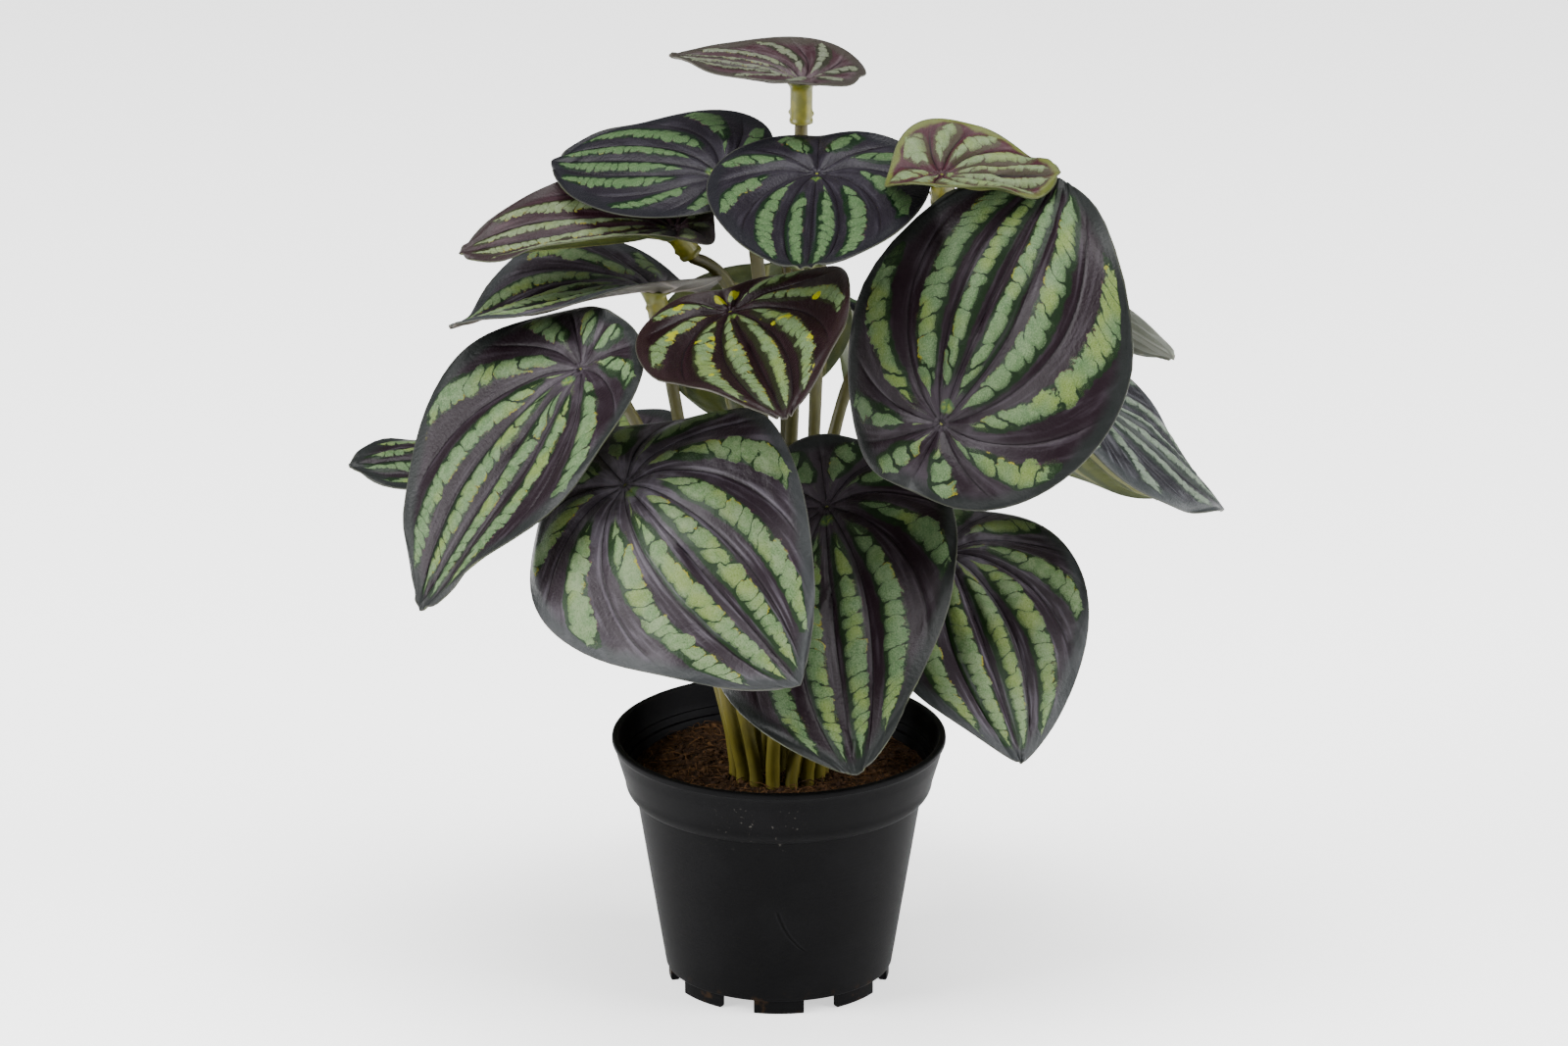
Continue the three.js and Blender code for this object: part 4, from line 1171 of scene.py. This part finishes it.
def inner_wall():
    """Radius and height down the inside, with two small steps in the collar."""
    low = COLLAR_LOW_RADIUS - WALL
    middle = low + STEP_LOW_WIDTH
    high = middle + STEP_HIGH_WIDTH
    steps = [(high, STEP_HIGH_Z + 0.5), (high - 0.2, STEP_HIGH_Z + 0.1), (middle + 0.15, STEP_HIGH_Z)]
    steps += [(middle, STEP_HIGH_Z - 0.2), (middle, STEP_LOW_Z + 0.5), (middle - 0.2, STEP_LOW_Z + 0.1)]
    steps += [(low + 0.15, STEP_LOW_Z), (low, STEP_LOW_Z - 0.2), (low, COLLAR_LOW_Z)]
    return (
        corner_arc((RIM_RADIUS - LIP_WIDTH, POT_HEIGHT - LIP_ROUND), LIP_ROUND, 90, 180)
        + [(COLLAR_TOP_RADIUS - WALL, LIP_Z - NECK_HEIGHT)]
        + steps
        + [(BODY_TOP_RADIUS - WALL, SHOULDER_Z), (BODY_LOW_RADIUS - WALL, FLOOR_TOP)]
    )


def turned(name, profile, sides, materials):
    """Closed lathe round Z of a profile whose first and last points are on the axis."""
    rings = np.array(profile[1:-1])
    points = [(*polar(r, a), z) for r, z in rings for a in ring_angles(sides)]
    first = len(points)
    points += [(0, 0, profile[0][1]), (0, 0, profile[-1][1])]
    faces = grid_faces(len(rings), sides)
    top = (len(rings) - 1) * sides
    for i, j in neighbours(sides):
        faces += [(first, j, i), (first + 1, top + i, top + j)]
    return new_object(name, points, faces, materials)


def foot_object(index):
    """One arc-shaped foot, its top inside the floor."""
    middle = -math.pi / 2 + index * 2 * math.pi / FOOT_COUNT
    half = math.radians(FOOT_DEGREES) / 2
    outer = FOOT_OUTER_RADIUS
    inner = FOOT_OUTER_RADIUS - FOOT_DEPTH
    section = [(outer, FOOT_HEIGHT + 1), (outer, FOOT_BEVEL), (outer - FOOT_BEVEL, 0)]
    section += [(inner + FOOT_BEVEL, 0), (inner, FOOT_BEVEL), (inner, FOOT_HEIGHT + 1)]
    points = []
    for angle in np.linspace(middle - half, middle + half, FOOT_STEPS):
        points += [(*polar(r, angle), z) for r, z in section]
    faces = grid_faces(FOOT_STEPS, len(section)) + end_faces(FOOT_STEPS, len(section))
    return new_object(f"foot_{index}", points, [tuple(reversed(face)) for face in faces], [])


def boolean(target, tool, operation):
    modifier = target.modifiers.new("cut", "BOOLEAN")
    modifier.object = tool
    modifier.operation = operation
    modifier.solver = "EXACT"
    bpy.context.view_layer.objects.active = target
    bpy.ops.object.modifier_apply(modifier=modifier.name)
    bpy.data.objects.remove(tool)


def drain_tool(index):
    centre = (*polar(DRAIN_CIRCLE, index * 2 * math.pi / DRAIN_COUNT), 0)
    low = FOOT_HEIGHT - 2 * FLOOR_THICKNESS
    high = FOOT_HEIGHT + 2 * FLOOR_THICKNESS
    profile = [(0, low), (DRAIN_RADIUS, low), (DRAIN_RADIUS, high), (0, high)]
    tool = turned(f"drain_{index}", profile, DRAIN_SIDES, [])
    tool.data.transform(Matrix.Translation(Vector(centre) * METRE))
    return tool


def make_pot():
    profile = [(0, FOOT_HEIGHT), *outer_wall(), *inner_wall(), (0, FLOOR_TOP)]
    pot = turned("pot_fine", profile, POT_SIDES, [pot_plastic()])
    for index in range(FOOT_COUNT):
        boolean(pot, foot_object(index), "UNION")
    for index in range(DRAIN_COUNT):
        boolean(pot, drain_tool(index), "DIFFERENCE")
    pot.data.polygons.foreach_set("use_smooth", [True] * len(pot.data.polygons))
    pot.data.set_sharp_from_angle(angle=math.radians(POT_CREASE))
    place_piece(pot, "pot", "pot")


# Soil

def soil_top(radius, angle):
    share = radius / BODY_TOP_RADIUS
    lumps = LUMP_HEIGHT * (np.sin(3 * angle + 1) + np.cos(5 * angle - radius / 9))
    return SOIL_LEVEL - SOIL_EDGE_DIP * share**3 + lumps * np.minimum(1, share)


def soil_roughness(x, y, rng):
    """Crossing waves of four sizes, and grit."""
    rough = np.zeros_like(x)
    for size, height in SOIL_WAVES:
        for _ in range(WAVES_OF_A_SIZE):
            direction = rng.uniform(0, np.pi)
            phase = rng.uniform(0, 2 * np.pi)
            across = (x * np.cos(direction) + y * np.sin(direction)) * 2 * np.pi
            wave = across / (size * rng.uniform(0.7, 1.5))
            bent = wave + phase + 1.5 * np.sin(0.3 * x + phase) + np.sin(0.35 * y)
            rough += height / WAVES_OF_A_SIZE * np.sin(bent)
    return rough + rng.normal(0, SOIL_GRIT, x.shape)


def make_soil(skin):
    """Soil plug: a rough top, and the plain sides and floor that the pot hides."""
    angles = ring_angles(SOIL_SIDES)
    radius, angle = np.meshgrid(SOIL_RADIUS * np.linspace(0.012, 1, SOIL_RINGS), angles, indexing="ij")
    x = radius * np.cos(angle)
    y = radius * np.sin(angle)
    z = soil_top(radius, angle) + SOIL_ROUGH * soil_roughness(x, y, np.random.default_rng(SOIL_SEED))
    z[-1] = soil_top(radius[-1], angle[-1])
    floor = FLOOR_TOP + SOIL_FLOOR_GAP
    sides = [(SOIL_RADIUS, COLLAR_LOW_Z), (BODY_TOP_RADIUS - WALL - SOIL_INSET, SHOULDER_Z)]
    sides.append((BODY_LOW_RADIUS - WALL - SOIL_INSET, floor))
    points = [[0, 0, SOIL_LEVEL]] + np.stack([x, y, z], -1).reshape(-1, 3).tolist()
    points += [(*polar(r, a), height) for r, height in sides for a in angles]
    points.append([0, 0, floor])
    rings = SOIL_RINGS + len(sides)
    faces = [tuple(reversed(face)) for face in grid_faces(rings, SOIL_SIDES, 1)]
    low = 1 + (rings - 1) * SOIL_SIDES
    for i, j in neighbours(SOIL_SIDES):
        faces += [(0, 1 + i, 1 + j), (len(points) - 1, low + j, low + i)]
    place_piece(new_object("soil_fine", points, faces, [skin]), "soil", "soil")


def on_soil(x, y, limit):
    """The place on the soil's top at x and y, kept within a radius."""
    radius = min(math.hypot(x, y), limit)
    turn = math.atan2(y, x)
    height = float(soil_top(np.array(radius), np.array(turn)))
    return *polar(radius, turn), height


def strand(rng):
    """One bent fibre that lies on the soil: its rings of points."""
    edge = SOIL_RADIUS - STRAND_INSET
    radius = edge * math.sqrt(rng.uniform(0, 1))
    x, y = polar(radius, rng.uniform(0, 2 * np.pi))
    heading = rng.uniform(0, 2 * np.pi)
    bend = rng.normal(0, 0.5)
    length = rng.uniform(3, 13)
    thick = rng.uniform(0.09, 0.26)
    lift = rng.uniform(-0.1, 0.9)
    arch = rng.uniform(-0.6, 1.6)
    line = []
    for share in np.linspace(0, 1, STRAND_STEPS):
        *place, height = on_soil(x, y, edge + 2)
        line.append((*place, height + lift + arch * math.sin(np.pi * share)))
        x += length / STRAND_STEPS * math.cos(heading)
        y += length / STRAND_STEPS * math.sin(heading)
        heading += bend
    level = (-math.sin(heading), math.cos(heading))
    points = []
    for share, centre in zip(np.linspace(0, 1, STRAND_STEPS), line):
        taper = thick * (1 - 0.5 * abs(2 * share - 1))
        for side in range(STRAND_SIDES):
            turn = 2 * np.pi * side / STRAND_SIDES
            across = (level[0] * math.cos(turn), level[1] * math.cos(turn), math.sin(turn))
            points.append([c + taper * a for c, a in zip(centre, across)])
    return points


def crumb(rng):
    """Place, size and stretch of one small clod."""
    radius = (SOIL_RADIUS - CRUMB_INSET) * math.sqrt(rng.uniform(0, 1))
    angle = rng.uniform(0, 2 * np.pi)
    size = rng.uniform(0.35, 1.3)
    height = float(soil_top(np.array(radius), np.array(angle))) + 0.2 * size
    centre = np.array([*polar(radius, angle), height])
    return centre, size, rng.uniform(0.6, 1.3, 3)


def crumb_shape():
    """Points and faces of an eight-sided ball with each face cut in four."""
    points = [(1, 0, 0), (-1, 0, 0), (0, 1, 0), (0, -1, 0), (0, 0, 1), (0, 0, -1)]
    corners = [(0, 2, 4), (2, 1, 4), (1, 3, 4), (3, 0, 4), (2, 0, 5), (1, 2, 5), (3, 1, 5), (0, 3, 5)]
    middles = {}
    faces = []

    def middle(a, b):
        key = (min(a, b), max(a, b))
        if key not in middles:
            point = np.add(points[a], points[b])
            middles[key] = len(points)
            points.append(tuple(point / np.linalg.norm(point)))
        return middles[key]

    for a, b, c in corners:
        ab, bc, ca = middle(a, b), middle(b, c), middle(c, a)
        faces += [(a, ab, ca), (ab, b, bc), (ca, bc, c), (ab, bc, ca)]
    return np.array(points, float), faces


def make_fibres(skin):
    """Loose strands and crumbs on the soil."""
    rng = np.random.default_rng(FIBRE_SEED)
    points = []
    faces = []
    tones = []
    for _ in range(STRAND_COUNT):
        first = len(points)
        points += strand(rng)
        faces += grid_faces(STRAND_STEPS, STRAND_SIDES, first)
        tones += [rng.uniform(0, 1) ** 1.6] * (STRAND_STEPS * STRAND_SIDES)
    shape, shape_faces = crumb_shape()
    for _ in range(CRUMB_COUNT):
        first = len(points)
        centre, size, stretch = crumb(rng)
        uneven = shape * stretch * size * rng.uniform(0.75, 1.2, (len(shape), 1))
        points += (centre + uneven).tolist()
        faces += [tuple(first + i for i in face) for face in shape_faces]
        tones += [0.6 * rng.uniform(0, 1) ** 1.5] * len(shape)
    made = new_object("soil_fibres", points, faces, [skin])
    tones = np.array(tones)
    store(made, "flat", np.stack([tones, 0 * tones, 0 * tones], 1))
    place_piece(made, "soil")


# Stage: a pale level floor, soft light and the camera

def aim(thing, target):
    direction = Vector(target) * METRE - thing.location
    thing.rotation_euler = direction.to_track_quat("-Z", "Y").to_euler()


def make_floor():
    net = Net("floor_paint")
    tone = net.noise(net.place(), 0.002)
    colour = net.mix(tone, linear((250, 250, 250)), linear((245, 245, 245)))
    skin = net.finish(colour, 0.8, specular=0.1, glow=FLOOR_GLOW)
    corners = [(-1, -1), (1, -1), (1, 1), (-1, 1)]
    points = [(FLOOR_REACH * x, FLOOR_REACH * y, 0) for x, y in corners]
    new_object("stage_floor", points, [(0, 1, 2, 3)], [skin])


def make_light(name, at, width, height, power):
    lamp = bpy.data.lights.new(name, "AREA")
    lamp.shape = "RECTANGLE"
    lamp.size = width * METRE
    lamp.size_y = height * METRE
    lamp.energy = power
    made = add_object(name, lamp)
    made.location = Vector(at) * METRE
    aim(made, LIGHT_AIM)


def make_world():
    world = bpy.data.worlds.new("studio")
    bpy.context.scene.world = world
    world.use_nodes = True
    background = world.node_tree.nodes["Background"]
    background.inputs["Color"].default_value = (1, 1, 1, 1)
    background.inputs["Strength"].default_value = WORLD_LIGHT


def make_camera():
    lens = bpy.data.cameras.new("camera")
    lens.lens = LENS
    lens.sensor_width = SENSOR
    lens.clip_start = CLIP_START
    lens.clip_end = CLIP_END
    camera = add_object("camera", lens)
    camera.location = Vector(CAMERA_AT) * METRE
    aim(camera, CAMERA_AIM)
    bpy.context.scene.camera = camera


make_camera()
make_world()
for light in LIGHTS:
    make_light(**light)
make_floor()
make_pot()
make_soil(soil_skin())
make_fibres(strand_skin())

uppers = {name: upper_face(name, look) for name, look in LOOKS.items()}
green_under = under_face("green", *UNDER_GREEN)
grey_under = under_face("grey", *UNDER_GREY)
pale_sheen_under = under_face("pale", *UNDER_PALE_SHEEN)
unders = dict(maroon=grey_under, sage_sheen=grey_under, hazy=grey_under, pale=pale_sheen_under)
socket_material = socket_skin()
petiole_material = petiole_skin()
feet = standing_places()
for leaf in LEAVES:
    beneath = unders.get(leaf["look"], green_under)
    make_leaf(leaf, uppers[leaf["look"]], beneath, socket_material)
    make_petiole(leaf, feet[leaf["name"]], petiole_material)
